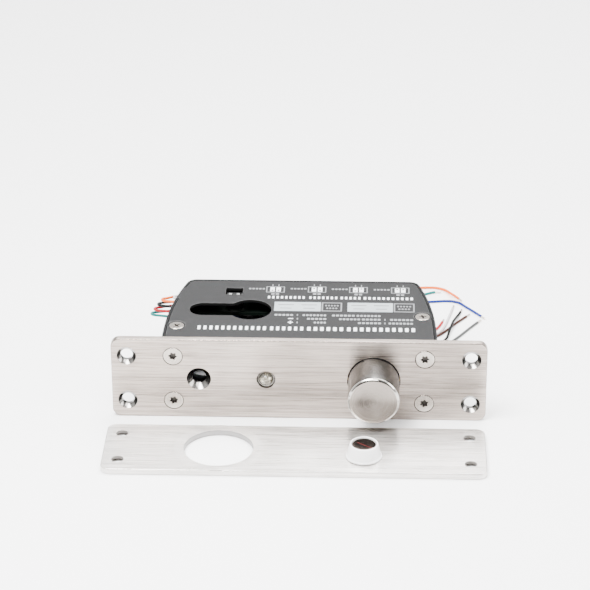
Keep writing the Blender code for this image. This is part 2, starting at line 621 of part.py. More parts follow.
# ---------------------------------------------------------------- strike plate
strike_holes = [(sx * MOUNT_X, sy * MOUNT_Z) for sx in (-1, 1) for sy in (-1, 1)]
strike = flat("strike_plate",
              [rounded_rect(PLATE_L, PLATE_W, PLATE_R, 6)]
              + [circle(x, y, 2.35, 24) for x, y in strike_holes]
              + [circle(STRIKE_HOLE_X, 0, STRIKE_HOLE_R, 64), circle(MAGNET_X, MAGNET_Y, 4.4, 32)],
              0, STRIKE_T)
bm = bmesh.new()
for x, y in strike_holes:
    add_cone(bm, 4.3, 2.05, (x, y, -0.5), (x, y, 1.75), 32)
cut(strike, as_cutter(finish(mesh_object("strike_countersinks", bm), None, strike_frame, False, cutters)))
finish(strike, steel_strike, strike_frame)

cup = turned("magnet_holder",
             [(4.95, 5.75), (5.12, 5.95), (5.35, 5.95), (5.6, 5.7), (6.75, 1.1), (7.1, 0.75), (7.1, 0.3), (4.1, 0.3),
              (4.1, -2.3), (3.2, -2.3), (3.2, 0.9), (4.95, 1.0), (4.95, 5.75)],
             (MAGNET_X, MAGNET_Y, STRIKE_T), "Z", 40)
finish(cup, white_plastic, strike_frame, False)
mag = turned("magnet", [(0, 5.6), (4.45, 5.6), (4.63, 5.42), (4.63, 1.35), (0, 1.35)], (MAGNET_X, MAGNET_Y, STRIKE_T), "Z", 32)
finish(mag, magnet_grey, strike_frame, False)

# ---------------------------------------------------------------- wires
# Each wire leaves the grommet through its own place in two columns, bends round beside the
# case, comes down behind it and lies on the table, then fans out to the right.
OUT = Vector((-math.cos(WALL_TURN), math.sin(WALL_TURN), 0))
ALONG = Vector((math.sin(WALL_TURN), math.cos(WALL_TURN), 0))
EXIT = Vector(SLOT_MID) - OUT * 0.15 + OUT * GAP
Z0 = WIRE_R + 0.03

# name: (colour, place along the wall, height, reach beside the case, bend radius, the rest of the
# route as (x, y, height above the table) from behind the case to the stripped end)
WIRES = {
    "wire_orange": ((0.85, 0.22, 0.03), -1.7, 28.6, 7.6, 2.5,
                    [(-50.2, 61.4, 23.0), (-34, 72, 15.5), (-18, 83, 8.0), (-4, 91, 2.6), (8, 97.5, 0), (24, 105.5, 0),
                     (38, 113.5, 0), (50.5, 117.4, 0), (57.0, 117.5, 0), (60.6, 115.6, 0.15), (63.4, 111.0, 0.7),
                     (65.9, 105.8, 1.45), (68.4, 101.4, 1.5)]),
    "wire_black": ((0.012, 0.012, 0.014), -1.7, 26.2, 9.4, 2.5,
                   [(-50.2, 61.4, 20.8), (-40, 74, 16.5), (-30, 82.0, 11.0), (-20, 83.5, 6.6), (-9, 77, 3.4),
                    (2, 70.5, 1.6), (13, 67.0, 0), (26, 65.6, 0), (40, 63.9, 0), (51, 63.2, 0), (57.2, 64.6, 0),
                    (60.6, 68.9, 0), (62.3, 75.5, 0.9), (63.8, 81.4, 1.75), (65.5, 88.0, 0.7), (67.2, 93.6, 0), (68.1, 97.0, 0)]),
    "wire_red": ((0.62, 0.03, 0.03), -1.7, 23.8, 11.0, 2.5,
                 [(-50.2, 61.4, 18.4), (-40, 68.5, 11.0), (-31, 75.4, 4.0), (-22, 79.3, 0), (0, 79.6, 0), (20, 77.4, 0),
                  (40, 73.9, 0), (49.5, 73.0, 0), (54.8, 75.2, 0), (57.5, 79.6, 0), (60.1, 87.2, 0)]),
    "wire_teal": ((0.02, 0.26, 0.27), -1.7, 21.4, 12.4, 2.5,
                  [(-50.2, 61.4, 16.0), (-42, 72, 8.6), (-34, 80, 2.8), (-25, 85.6, 0), (0, 92, 0), (24, 99, 0), (40, 106.4, 0),
                   (51.7, 110.9, 0), (56.4, 113.2, 0), (59.4, 113.3, 0)]),
    "wire_white": ((0.75, 0.73, 0.74), 1.7, 28.6, 3.4, 2.45,
                   [(-49.0, 59.2, 24.0), (-34, 66.5, 17.0), (-18, 73, 11.0), (-5, 75.6, 6.8), (6, 76.2, 2.6), (17, 75.2, 0),
                    (40, 70.9, 0), (51, 70.7, 0), (56.9, 73.6, 0), (59.6, 78.5, 0), (62.0, 88.0, 0), (64.7, 100.6, 0)]),
    "wire_blue": ((0.02, 0.07, 0.36), 1.7, 26.2, 3.6, 2.45,
                  [(-49.0, 59.2, 21.6), (-37, 68, 12.0), (-27, 77, 5.0), (-16, 83.5, 0), (0, 86.5, 0), (16, 91.0, 0),
                   (36, 99.5, 0), (48, 102.6, 0), (56, 104.0, 0), (62.6, 104.7, 0), (66.6, 103.4, 0), (69.6, 99.7, 0),
                   (73.3, 94.7, 0), (78.0, 88.0, 0)]),
    "wire_brown": ((0.10, 0.045, 0.025), 1.7, 23.8, 3.8, 2.45,
                   [(-49.0, 59.2, 19.2), (-41, 63.5, 10.5), (-34, 67.5, 3.8), (-25, 70.2, 0), (0, 71.0, 0), (20, 69.2, 0),
                    (40, 66.7, 0), (50, 67.2, 0), (56.6, 71.2, 0), (60.9, 76.8, 0), (64.8, 83.1, 0), (69.3, 89.4, 0), (71.4, 92.4, 0)]),
    "wire_grey": ((0.13, 0.13, 0.13), 1.7, 21.4, 4.0, 2.45,
                  [(-49.0, 59.2, 16.8), (-44, 62.2, 8.5), (-39, 64.5, 2.8), (-31, 65.9, 0), (-10, 65.8, 0), (20, 63.4, 0),
                   (42, 61.2, 0), (54, 61.2, 0), (61.0, 64.4, 0), (65.8, 70.7, 0), (69.8, 77.2, 0), (74.0, 83.9, 0), (76.2, 87.0, 0)]),
}


def wire_route(offset, height, reach, bend, rest):
    p = EXIT + ALONG * offset
    p = Vector((p.x, p.y, height))
    route = [p, p + OUT * ((reach - bend) * 0.6)]
    middle = p + OUT * (reach - bend) + ALONG * bend
    for deg in (25, 65, 105, 145):
        a = math.radians(deg)
        route.append(middle + (OUT * math.sin(a) - ALONG * math.cos(a)) * bend - Vector((0, 0, 0.008 * deg)))
    return route + [Vector((x, y, Z0 + z)) for x, y, z in rest]


for name, (rgb, offset, height, reach, bend, rest) in WIRES.items():
    route = wire_route(offset, height, reach, bend, rest)
    pts = [(q.x, q.y, max(q.z, Z0)) for q in smooth_path(route, WIRE_POINTS)]
    tube(name, pts, WIRE_R, material(name, rgb, 0.4, 0.0), lock)

bpy.context.view_layer.update()
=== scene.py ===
"""Looks for the electric bolt lock and its loose strike plate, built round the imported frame.

Lengths in the shape code are millimetres in the lock's own frame (X along the faceplate,
Y into the case with 0 on the faceplate's front, Z up with 0 on the table). W() turns them
into the row frame in metres.
"""
import math

import bmesh
import bpy
from mathutils import Matrix, Vector, noise
from mathutils.geometry import tessellate_polygon


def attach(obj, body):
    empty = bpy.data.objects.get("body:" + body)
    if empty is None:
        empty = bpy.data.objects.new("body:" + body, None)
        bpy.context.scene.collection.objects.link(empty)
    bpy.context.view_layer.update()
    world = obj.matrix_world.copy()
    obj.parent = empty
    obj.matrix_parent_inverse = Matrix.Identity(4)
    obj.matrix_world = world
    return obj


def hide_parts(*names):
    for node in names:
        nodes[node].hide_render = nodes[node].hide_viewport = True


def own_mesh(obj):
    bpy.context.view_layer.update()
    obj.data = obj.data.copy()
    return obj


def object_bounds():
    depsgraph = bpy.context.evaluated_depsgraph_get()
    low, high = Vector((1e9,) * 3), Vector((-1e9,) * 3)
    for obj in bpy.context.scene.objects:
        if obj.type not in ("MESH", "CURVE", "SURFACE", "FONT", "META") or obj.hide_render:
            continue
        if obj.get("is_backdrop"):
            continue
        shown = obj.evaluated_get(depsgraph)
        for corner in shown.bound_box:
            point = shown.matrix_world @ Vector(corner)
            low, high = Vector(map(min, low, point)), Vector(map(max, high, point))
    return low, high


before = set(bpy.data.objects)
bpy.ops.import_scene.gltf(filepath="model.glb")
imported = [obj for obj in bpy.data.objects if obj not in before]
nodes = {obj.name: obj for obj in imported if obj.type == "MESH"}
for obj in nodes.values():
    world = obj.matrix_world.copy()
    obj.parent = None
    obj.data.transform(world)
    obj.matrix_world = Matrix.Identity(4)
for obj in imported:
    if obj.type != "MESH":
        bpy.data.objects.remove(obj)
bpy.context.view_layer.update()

MM = 0.001
LOCK_Y = -6.75
MID_Z = 17.5
STRIKE_X, STRIKE_Y = -0.7, -28.4


def W(x, y, z):
    return Vector((x * MM, (y + LOCK_Y) * MM, z * MM))


def S(x, y, z):
    """A point of the strike plate's own frame."""
    return W(x + STRIKE_X, y + STRIKE_Y, z)


# ------------------------------------------------------------------ materials
class Graph:
    """A small helper for shader graphs."""

    def __init__(self, name):
        self.m = bpy.data.materials.new(name)
        self.m.use_nodes = True
        self.t = self.m.node_tree
        self.b = self.t.nodes["Principled BSDF"]
        self.co = self.t.nodes.new("ShaderNodeTexCoord").outputs["Object"]

    def n(self, kind, **props):
        node = self.t.nodes.new("ShaderNode" + kind)
        for k, v in props.items():
            setattr(node, k, v)
        return node

    def link(self, a, b):
        self.t.links.new(a, b)

    def put(self, socket, value):
        if isinstance(value, bpy.types.NodeSocket):
            self.link(value, socket)
        else:
            socket.default_value = value

    def scaled(self, sx, sy, sz, shift=(0, 0, 0), source=None):
        mp = self.n("Mapping")
        mp.inputs["Scale"].default_value = (sx, sy, sz)
        mp.inputs["Location"].default_value = shift
        self.link(source or self.co, mp.inputs["Vector"])
        return mp.outputs["Vector"]

    def noise(self, vector, scale=1.0, detail=2.0, rough=0.55, dims="3D", w=None):
        nt = self.n("TexNoise", noise_dimensions=dims)
        nt.inputs["Scale"].default_value = scale
        nt.inputs["Detail"].default_value = detail
        nt.inputs["Roughness"].default_value = rough
        if vector is not None:
            self.link(vector, nt.inputs["Vector"])
        if w is not None:
            self.link(w, nt.inputs["W"])
        return nt.outputs["Fac"]

    def math(self, op, a, b=0.0, clamp=False):
        mt = self.n("Math", operation=op, use_clamp=clamp)
        self.put(mt.inputs[0], a)
        self.put(mt.inputs[1], b)
        return mt.outputs[0]

    def ramp(self, value, lo, hi, a=0.3, b=0.7):
        """value from a..b mapped to lo..hi."""
        mr = self.n("MapRange", clamp=True)
        self.put(mr.inputs["Value"], value)
        mr.inputs["From Min"].default_value = a
        mr.inputs["From Max"].default_value = b
        mr.inputs["To Min"].default_value = lo
        mr.inputs["To Max"].default_value = hi
        return mr.outputs["Result"]

    def mix(self, fac, a, b):
        mx = self.n("Mix", data_type="RGBA")
        self.put(mx.inputs["Factor"], fac)
        self.put(mx.inputs["A"], a)
        self.put(mx.inputs["B"], b)
        return mx.outputs["Result"]

    def bump(self, height, distance, strength=1.0, normal=None):
        bp = self.n("Bump")
        bp.inputs["Strength"].default_value = strength
        bp.inputs["Distance"].default_value = distance
        self.link(height, bp.inputs["Height"])
        if normal is not None:
            self.link(normal, bp.inputs["Normal"])
        return bp.outputs["Normal"]

    def edge_wear_and_shading(self, scale=900.0):
        """Rounded-edge mask: 1 where the mesh marks a rounded edge, broken up by noise. The materials mix it towards an
        edge colour: worn edges, and painted light on the edges (a painted highlight where the edge colour is lighter,
        painted shade where it is darker).
        """
        at = self.n("Attribute", attribute_type="GEOMETRY", attribute_name="edge_wear_and_shading")
        spots = self.ramp(self.noise(self.co, scale, 3), 0.45, 1.0, 0.42, 0.6)
        return self.math("MULTIPLY", at.outputs["Fac"], spots, True)

    def rgb(self, c):
        return (c[0], c[1], c[2], 1.0)


def shade(c, k):
    return tuple(min(1.0, v * k) for v in c)


def brushed(name, base, rough, length=0.022, width=0.00022, depth=0.0000035, vary=0.10, aniso=0.75, along="x", tint=None, edge=1.1):
    """Metal with a straight grain."""
    g = Graph(name)
    a, b = 1 / length, 1 / width
    sc = {"x": (a, b, b), "z": (b, b, a)}[along]
    fine = g.noise(g.scaled(*sc), 1.0, 3.0, 0.6)
    coarse = g.noise(g.scaled(*[v * 0.28 for v in sc], shift=(3.1, 1.7, 0.4)), 1.0, 3.0, 0.65)
    cloud = g.noise(g.co, 42.0, 2.0)
    streak = g.math("ADD", g.math("ADD", g.math("MULTIPLY", coarse, 0.3), g.math("MULTIPLY", fine, 0.5)), g.math("MULTIPLY", cloud, 0.2))
    col = g.mix(g.ramp(streak, 0.0, 1.0, 0.40, 0.60), g.rgb(shade(base, 1 - vary)), g.rgb(shade(tint or base, 1 + vary * 0.7)))
    edge_wear_and_shading_mask = g.edge_wear_and_shading()
    # rounded edges mixed to shade(base, edge): above 1 worn edges and a painted edge highlight, below 1 painted shade
    # on the bevel
    g.link(g.mix(edge_wear_and_shading_mask, col, g.rgb(shade(base, edge))), g.b.inputs["Base Color"])
    r = g.ramp(fine, rough - 0.05, rough + 0.06, 0.3, 0.7)
    r = g.math("SUBTRACT", r, g.math("MULTIPLY", edge_wear_and_shading_mask, 0.08))
    g.link(r, g.b.inputs["Roughness"])
    g.b.inputs["Metallic"].default_value = 1.0
    g.b.inputs["Anisotropic"].default_value = aniso
    g.b.inputs["Anisotropic Rotation"].default_value = 0.25
    tan = g.n("Tangent", direction_type="UV_MAP", uv_map="grain")
    g.link(tan.outputs["Tangent"], g.b.inputs["Tangent"])
    h = g.math("ADD", g.math("MULTIPLY", fine, 0.7), g.math("MULTIPLY", coarse, 0.6))
    g.link(g.bump(h, depth), g.b.inputs["Normal"])
    return g.m


def turned_metal(name, base, rough, centre=None, pitch=0.00025, depth=0.000002, vary=0.08, aniso=0.6, axis="y"):
    """Metal with fine tool rings round an axis."""
    g = Graph(name)
    sep = g.n("SeparateXYZ")
    if centre is None:
        vec = g.co
    else:
        vm = g.n("VectorMath", operation="SUBTRACT")
        g.link(g.co, vm.inputs[0])
        vm.inputs[1].default_value = centre
        vec = vm.outputs["Vector"]
    g.link(vec, sep.inputs[0])
    i, j, k = {"y": (0, 2, 1), "z": (0, 1, 2)}[axis]
    sq = g.math("ADD", g.math("POWER", g.math("ABSOLUTE", sep.outputs[i]), 2.0), g.math("POWER", g.math("ABSOLUTE", sep.outputs[j]), 2.0))
    r = g.math("SQRT", sq)
    w = g.math("DIVIDE", g.math("ADD", r, g.math("MULTIPLY", sep.outputs[k], 0.83)), pitch)
    rings = g.noise(None, 1.0, 3.0, 0.6, "1D", w)
    cloud = g.noise(g.co, 120.0, 3.0)
    edge_wear_and_shading_mask = g.edge_wear_and_shading(1400.0)
    col = g.mix(g.ramp(g.math("ADD", g.math("MULTIPLY", rings, 0.6), g.math("MULTIPLY", cloud, 0.4)), 0, 1, 0.35, 0.65),
                g.rgb(shade(base, 1 - vary)), g.rgb(shade(base, 1 + vary)))
    # rounded edges lightened to 1.25 times the base: worn edges and a painted edge highlight
    g.link(g.mix(edge_wear_and_shading_mask, col, g.rgb(shade(base, 1.25))), g.b.inputs["Base Color"])
    rr = g.ramp(rings, rough - 0.04, rough + 0.06, 0.3, 0.7)
    g.link(g.math("SUBTRACT", rr, g.math("MULTIPLY", edge_wear_and_shading_mask, 0.06)), g.b.inputs["Roughness"])
    g.b.inputs["Metallic"].default_value = 1.0
    if aniso:
        g.b.inputs["Anisotropic"].default_value = aniso
        g.b.inputs["Anisotropic Rotation"].default_value = 0.25
        tan = g.n("Tangent", direction_type="RADIAL", axis=axis.upper())
        g.link(tan.outputs["Tangent"], g.b.inputs["Tangent"])
    g.link(g.bump(rings, depth), g.b.inputs["Normal"])
    return g.m


def coated(name, base, rough, metal=0.0, grain=0.00035, depth=0.000012, vary=0.08, spec=0.5, coat=0.0, edge_wear_and_highlight_colour=None, dust=0.0):
    """Painted, moulded or extruded surfaces: fine texture, slow colour change, edges lightened for wear and as a
    painted edge highlight.
    """
    g = Graph(name)
    fine = g.noise(g.co, 1 / grain, 3.0, 0.6)
    slow = g.noise(g.co, 55.0, 3.0)
    edge_wear_and_shading_mask = g.edge_wear_and_shading()
    k = g.math("ADD", g.math("MULTIPLY", fine, 0.5), g.math("MULTIPLY", slow, 0.5))
    col = g.mix(g.ramp(k, 0, 1, 0.35, 0.65), g.rgb(shade(base, 1 - vary)), g.rgb(shade(base, 1 + vary)))
    if dust:
        specks = g.ramp(g.noise(g.co, 2300.0, 1.0), 0.0, dust, 0.66, 0.74)
        col = g.mix(specks, col, g.rgb((0.55, 0.54, 0.52)))
    # rounded edges mixed towards a lighter edge colour (1.5 times the base unless one is given): worn edges and a
    # painted edge highlight
    g.link(g.mix(g.math("MULTIPLY", edge_wear_and_shading_mask, 0.7), col, g.rgb(edge_wear_and_highlight_colour or shade(base, 1.5))), g.b.inputs["Base Color"])
    rr = g.ramp(fine, rough - 0.05, rough + 0.07, 0.3, 0.7)
    g.link(g.math("SUBTRACT", rr, g.math("MULTIPLY", edge_wear_and_shading_mask, 0.1)), g.b.inputs["Roughness"])
    g.b.inputs["Metallic"].default_value = metal
    g.b.inputs["Specular IOR Level"].default_value = spec
    g.b.inputs["Coat Weight"].default_value = coat
    g.link(g.bump(fine, depth), g.b.inputs["Normal"])
    return g.m


def clear(name, base, rough, transmission, ior=1.49):
    g = Graph(name)
    slow = g.noise(g.co, 600.0, 2.0)
    g.link(g.mix(g.ramp(slow, 0, 1), g.rgb(shade(base, 0.93)), g.rgb(base)), g.b.inputs["Base Color"])
    g.link(g.ramp(slow, rough, rough + 0.05), g.b.inputs["Roughness"])
    g.b.inputs["Transmission Weight"].default_value = transmission
    g.b.inputs["IOR"].default_value = ior
    return g.m


STEEL = (0.60, 0.585, 0.565)
M = {
    # faceplate edge=0.45 and strike edge=0.85: their rounded edges are painted darker, painted shade on the bevel
    "plate": brushed("brushed_faceplate", (0.435, 0.376, 0.334), 0.30, 0.018, 0.00030, vary=0.40, aniso=0.96, depth=0.000009, edge=0.45),
    "strike": brushed("brushed_strike", (0.72, 0.69, 0.66), 0.30, 0.018, 0.00030, vary=0.26, aniso=0.92, depth=0.000007, edge=0.85),
    "polish": brushed("polished_dish", (0.765, 0.738, 0.712), 0.31, 0.018, 0.0003, vary=0.22, aniso=0.9, depth=0.000004),
    "gap": coated("shadow_gap", (0.02, 0.018, 0.016), 0.6, 0.4, spec=0.1),
    # small_bore, bore, countersink and recess: the steel of the hole walls and screw recesses painted much darker,
    # painted shade inside the holes
    "small_bore": coated("small_bore_painted_shade", (0.20, 0.185, 0.17), 0.5, 0.35, 0.0004, 0.000006, 0.12),
    "bore": turned_metal("strike_bore_painted_shade", (0.27, 0.262, 0.255), 0.35, pitch=0.0003, depth=0.000002, aniso=0.0, vary=0.06),
    "bezel": turned_metal("led_bezel", (0.42, 0.39, 0.36), 0.3, aniso=0.0),
    "countersink": turned_metal("hole_wall_painted_shade", (0.21, 0.20, 0.19), 0.15, pitch=0.0002, depth=0.000001, aniso=0.0),
    "screw": turned_metal("screw_head_steel", (0.50, 0.455, 0.41), 0.27, pitch=0.0003, aniso=0.0),
    "recess": coated("screw_recess_painted_shade", (0.06, 0.053, 0.047), 0.42, 0.6),
    # chamfer lighter and bolt_side darker than the bolt's face, though all are one steel: painted highlight on the
    # chamfer, painted shade on the side
    "chamfer": turned_metal("bolt_chamfer_painted_highlight", (0.44, 0.42, 0.39), 0.08, (0.030, 0.0, 0.0175), 0.0004, 0.000001, vary=0.04, aniso=0.0),
    "bolt_side": turned_metal("bolt_side_painted_shade", (0.20, 0.192, 0.182), 0.20, (0.030, 0.0, 0.0175), 0.00034, 0.000004, vary=0.16, aniso=0.85),
    "bolt": turned_metal("turned_bolt", (0.235, 0.207, 0.182), 0.24, (0.030, 0.0, 0.0175), 0.00032, 0.0000022),
    "case": coated("case_paint", (0.006, 0.006, 0.0065), 0.5, 0.0, 0.0004, 0.000010, 0.04, 0.12, 0.0, (0.03, 0.03, 0.03), 0.02),
    # inside of the case and walls of the cover's cut-outs: blacker and duller than the outside, partly the case's own
    # black, partly painted shade
    "case_in": coated("case_inside_painted_shade", (0.003, 0.003, 0.003), 0.8, spec=0.1),
    "cover": coated("cover_paint", (0.021, 0.021, 0.0214), 0.55, 0.0, 0.0003, 0.000008, 0.04, 0.10, 0.0, (0.09, 0.09, 0.09), 0.02),
    "ink": coated("print_ink", (0.80, 0.82, 0.83), 0.45, vary=0.06),
    "ink_dim": coated("print_ink_thin", (0.19, 0.195, 0.20), 0.5, vary=0.12, spec=0.2),
    "ink_grey": coated("print_ink_grey", (0.25, 0.26, 0.265), 0.5, vary=0.08, spec=0.2),
    "ink_panel": coated("print_ink_panel", (0.34, 0.375, 0.39), 0.5, vary=0.06, spec=0.2),
    "rubber": coated("rubber_black", (0.018, 0.018, 0.018), 0.62, depth=0.00002),
    "black": coated("black_plastic", (0.014, 0.014, 0.014), 0.38, depth=0.000008),
    "white": coated("white_plastic", (0.27, 0.27, 0.265), 0.30, depth=0.000005, vary=0.03, edge_wear_and_highlight_colour=(0.9, 0.9, 0.9)),
    "cup": coated("cup_plastic", (0.90, 0.895, 0.89), 0.22, depth=0.000004, vary=0.02, edge_wear_and_highlight_colour=(0.93, 0.93, 0.93)),
    "led": clear("led_epoxy", (0.66, 0.61, 0.50), 0.08, 0.90),
    "glass": clear("reed_glass", (0.72, 0.80, 0.74), 0.03, 0.9),
    "lead": turned_metal("lead_frame", (0.75, 0.74, 0.70), 0.18, aniso=0.0),
    "zinc": turned_metal("zinc_plate", (0.50, 0.51, 0.50), 0.33, pitch=0.0004, depth=0.000003, aniso=0.0, vary=0.12),
    "brass": turned_metal("brass_guide", (0.68, 0.47, 0.20), 0.3, pitch=0.0004, depth=0.000002, aniso=0.0, vary=0.1),
    "copper": turned_metal("enamelled_coil", (0.50, 0.20, 0.07), 0.28, pitch=0.00028, depth=0.00003, aniso=0.0, vary=0.15),
    "board": coated("board_green", (0.0010, 0.0035, 0.0020), 0.5, depth=0.000006, vary=0.2, spec=0.15),
    "blue": coated("relay_blue", (0.006, 0.014, 0.05), 0.5, spec=0.2),
    "magnet": turned_metal("magnet_plating", (0.125, 0.105, 0.095), 0.2, pitch=0.0003, depth=0.0000015, aniso=0.0, vary=0.12, axis="z"),
    "red_line": coated("marker_red", (0.055, 0.004, 0.004), 0.6, spec=0.1),
    "tin": turned_metal("tinned_copper", (0.72, 0.66, 0.60), 0.3, pitch=0.0003, depth=0.000004, aniso=0.0, vary=0.15),
}


# ------------------------------------------------------------------ mesh making
def circle(cx, cy, r, n):
    return [(cx + r * math.cos(2 * math.pi * i / n), cy + r * math.sin(2 * math.pi * i / n)) for i in range(n)]


def arc(cx, cy, r, a0, a1, n):
    return [(cx + r * math.cos(math.radians(a0 + (a1 - a0) * i / n)),
             cy + r * math.sin(math.radians(a0 + (a1 - a0) * i / n))) for i in range(n + 1)]


def rounded_rect(w, h, r, n=12, cx=0.0, cy=0.0):
    pts = []
    for sx, sy, a in ((1, 1, 0), (-1, 1, 90), (-1, -1, 180), (1, -1, 270)):
        pts += arc(cx + sx * (w / 2 - r), cy + sy * (h / 2 - r), r, a, a + 90, n)
    return pts


def area(pts):
    return sum(a[0] * b[1] - b[0] * a[1] for a, b in zip(pts, pts[1:] + pts[:1])) / 2


def inset(pts, d):
    """The outline moved inwards by d (outwards if negative)."""
    if not d:
        return list(pts)
    s = 1 if area(pts) > 0 else -1
    out, n = [], len(pts)
    for i in range(n):
        p, a, b = Vector(pts[i]), Vector(pts[i - 1]), Vector(pts[(i + 1) % n])
        d1, d2 = (p - a).normalized(), (b - p).normalized()
        n1, n2 = Vector((-d1.y, d1.x)) * s, Vector((-d2.y, d2.x)) * s
        m = (n1 + n2).normalized()
        out.append(tuple(p + m * (d / max(m.dot(n1), 0.35))))
    return out


def round_edge(r, z, up=True, n=3):
    """(inset, height) pairs from the wall to the flat face, over a rounded edge."""
    out = []
    for i in range(n + 1):
        a = math.radians(90 * i / n)
        out.append((r * (1 - math.cos(a)), z - r + r * math.sin(a) if up else z + r - r * math.sin(a)))
    return out


class Solid:
    """Builds a mesh from rings of points, bands between them and flat caps."""

    def __init__(self, place):
        self.place = place
        self.bm = bmesh.new()
        # per-face mask of the rounded edges, read by the materials for worn edges and for painted edge highlight and
        # shade
        self.layer = self.bm.faces.layers.float.new("edge_wear_and_shading")
        self.mats = []

    def slot(self, mat):
        if mat not in self.mats:
            self.mats.append(mat)
        return self.mats.index(mat)

    def ring(self, pts):
        return [self.bm.verts.new(self.place(*p)) for p in pts]

    def face(self, vs, mat, edge_wear_and_shading=0.0, smooth=True):
        f = self.bm.faces.new(vs)
        f.material_index = self.slot(mat)
        f[self.layer] = edge_wear_and_shading
        f.smooth = smooth
        return f

    def band(self, a, b, mat, edge_wear_and_shading=0.0, smooth=True):
        n = len(a)
        for i in range(n):
            self.face([a[i], a[(i + 1) % n], b[(i + 1) % n], b[i]], mat, edge_wear_and_shading, smooth)

    def cap(self, rings, mat):
        flat = [v for r in rings for v in r]
        for tri in tessellate_polygon([[v.co * 1000 for v in r] for r in rings]):
            try:
                self.face([flat[i] for i in tri], mat, 0.0, False)
            except ValueError:
                pass

    def fan(self, r, tip, mat, smooth=True):
        n = len(r)
        for i in range(n):
            self.face([r[i], r[(i + 1) % n], tip], mat, 0.0, smooth)

    def tube_of(self, outline, plan, mat, edge_wear_and_shading_at=()):
        """Rings of an outline at (inset, height) steps. Returns the first and the last ring."""
        rings = [self.ring([(x, y, z) for x, y in inset(outline, d)]) for d, z in plan]
        for i, (a, b) in enumerate(zip(rings, rings[1:])):
            self.band(a, b, mat, 1.0 if i in edge_wear_and_shading_at else 0.0)
        return rings

    def done(self, name, sharp=38, body=None, replaces=(), slot=None, grain=False, keep=False):
        bm = self.bm
        bmesh.ops.recalc_face_normals(bm, faces=bm.faces[:])
        me = bpy.data.meshes.new(name)
        bm.to_mesh(me)
        bm.free()
        for m in self.mats:
            me.materials.append(M[m] if isinstance(m, str) else m)
        flags = [p.use_smooth for p in me.polygons]
        me.set_sharp_from_angle(angle=math.radians(sharp))
        me.polygons.foreach_set("use_smooth", flags)
        if grain:
            grain_uv(me)
        o = bpy.data.objects.new(name, me)
        bpy.context.scene.collection.objects.link(o)
        if not keep:
            settle(o, body, replaces)
        return o


def grain_uv(me):
    """A map whose U runs along X, so that the grain's reflections have a direction."""
    uv = me.uv_layers.new(name="grain")
    for p in me.polygons:
        nx, ny, nz = (abs(v) for v in p.normal)
        for li in p.loop_indices:
            co = me.vertices[me.loops[li].vertex_index].co
            uv.data[li].uv = (co.x, co.z if ny >= nz else co.y) if nx < 0.8 else (co.y + co.x * 0.3, co.z)


def settle(o, body, replaces=()):
    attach(o, body)
    if replaces:
        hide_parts(*([replaces] if isinstance(replaces, str) else replaces))
    return o


def apply_all(o):
    dg = bpy.context.evaluated_depsgraph_get()
    me = bpy.data.meshes.new_from_object(o.evaluated_get(dg), preserve_all_data_layers=True, depsgraph=dg)
    old = o.data
    o.modifiers.clear()
    o.data = me
    return o


def turned(name, profile, place, mat, seg=72, edge_wear_and_shading=(), body=None, replaces=(), slot=None, sharp=38, mats=None, keep=False):
    """A turned solid. The profile lists (radius, height); place(x, y, h) puts a point."""
    s = Solid(place)
    prev = None
    for i, (r, h) in enumerate(profile):
        m = (mats or {}).get(i - 1, mat)
        if r < 1e-6:
            cur = s.bm.verts.new(place(0, 0, h))
            if prev is not None:
                s.fan(prev, cur, m, True)
        else:
            cur = s.ring([(r * math.cos(2 * math.pi * k / seg), r * math.sin(2 * math.pi * k / seg), h) for k in range(seg)])
            if isinstance(prev, list):
                s.band(prev, cur, m, 1.0 if (i - 1) in edge_wear_and_shading else 0.0)
            elif prev is not None:
                s.fan(cur, prev, m, True)
        prev = cur
    return s.done(name, sharp, body, replaces, slot, keep=keep)


def front(cx, cz):
    """Places a turned profile on a line along Y: heights grow towards the viewer (-Y)."""
    return lambda x, y, h: W(cx + x, -h, cz + y)


def upright(cx, cy, z=0.0, frame_=W):
    return lambda x, y, h: frame_(cx + x, cy + y, z + h)


# ------------------------------------------------------------------ camera
F = 150.08
EL, YAW, ROLL = math.radians(26.851), math.radians(2.065), math.radians(-0.202)
TX, TY, DIST = -1.537, 49.645, 991.129
back = Vector((math.sin(YAW) * math.cos(EL), -math.cos(YAW) * math.cos(EL), math.sin(EL)))
right = Vector((math.cos(YAW), math.sin(YAW), 0))
up = back.cross(right)
r2 = math.cos(ROLL) * right + math.sin(ROLL) * up
u2 = -math.sin(ROLL) * right + math.cos(ROLL) * up
eye = back * DIST + r2 * TX + u2 * TY
cam_data = bpy.data.cameras.new("camera")
cam_data.lens = F
cam_data.sensor_width = 36.0
cam_data.sensor_fit = "HORIZONTAL"
cam_data.clip_start, cam_data.clip_end = 0.01, 20.0
cam = bpy.data.objects.new("camera", cam_data)
cam.matrix_world = Matrix.Translation(W(*eye)) @ Matrix((r2, u2, back)).transposed().to_4x4()
bpy.context.scene.collection.objects.link(cam)
bpy.context.scene.camera = cam

# ------------------------------------------------------------------ wires
WIRE_R = 0.55
GAP = 0.3
TIP = 2.8          # stripped length


def half_width(y):
    return 55.15 - 5.09 * (max(y - 5.0, 0.0) / 45.8) ** 2.4


WALL_TURN = math.atan2(half_width(42.0) - half_width(51.7), 51.7 - 42.0)
SLOT_MID = (-(half_width(46.85)), 46.85, 25.0)
OUT = Vector((-math.cos(WALL_TURN), math.sin(WALL_TURN), 0))
ALONG = Vector((math.sin(WALL_TURN), math.cos(WALL_TURN), 0))
EXIT = Vector(SLOT_MID) - OUT * 0.15 + OUT * GAP
Z0 = WIRE_R + 0.03

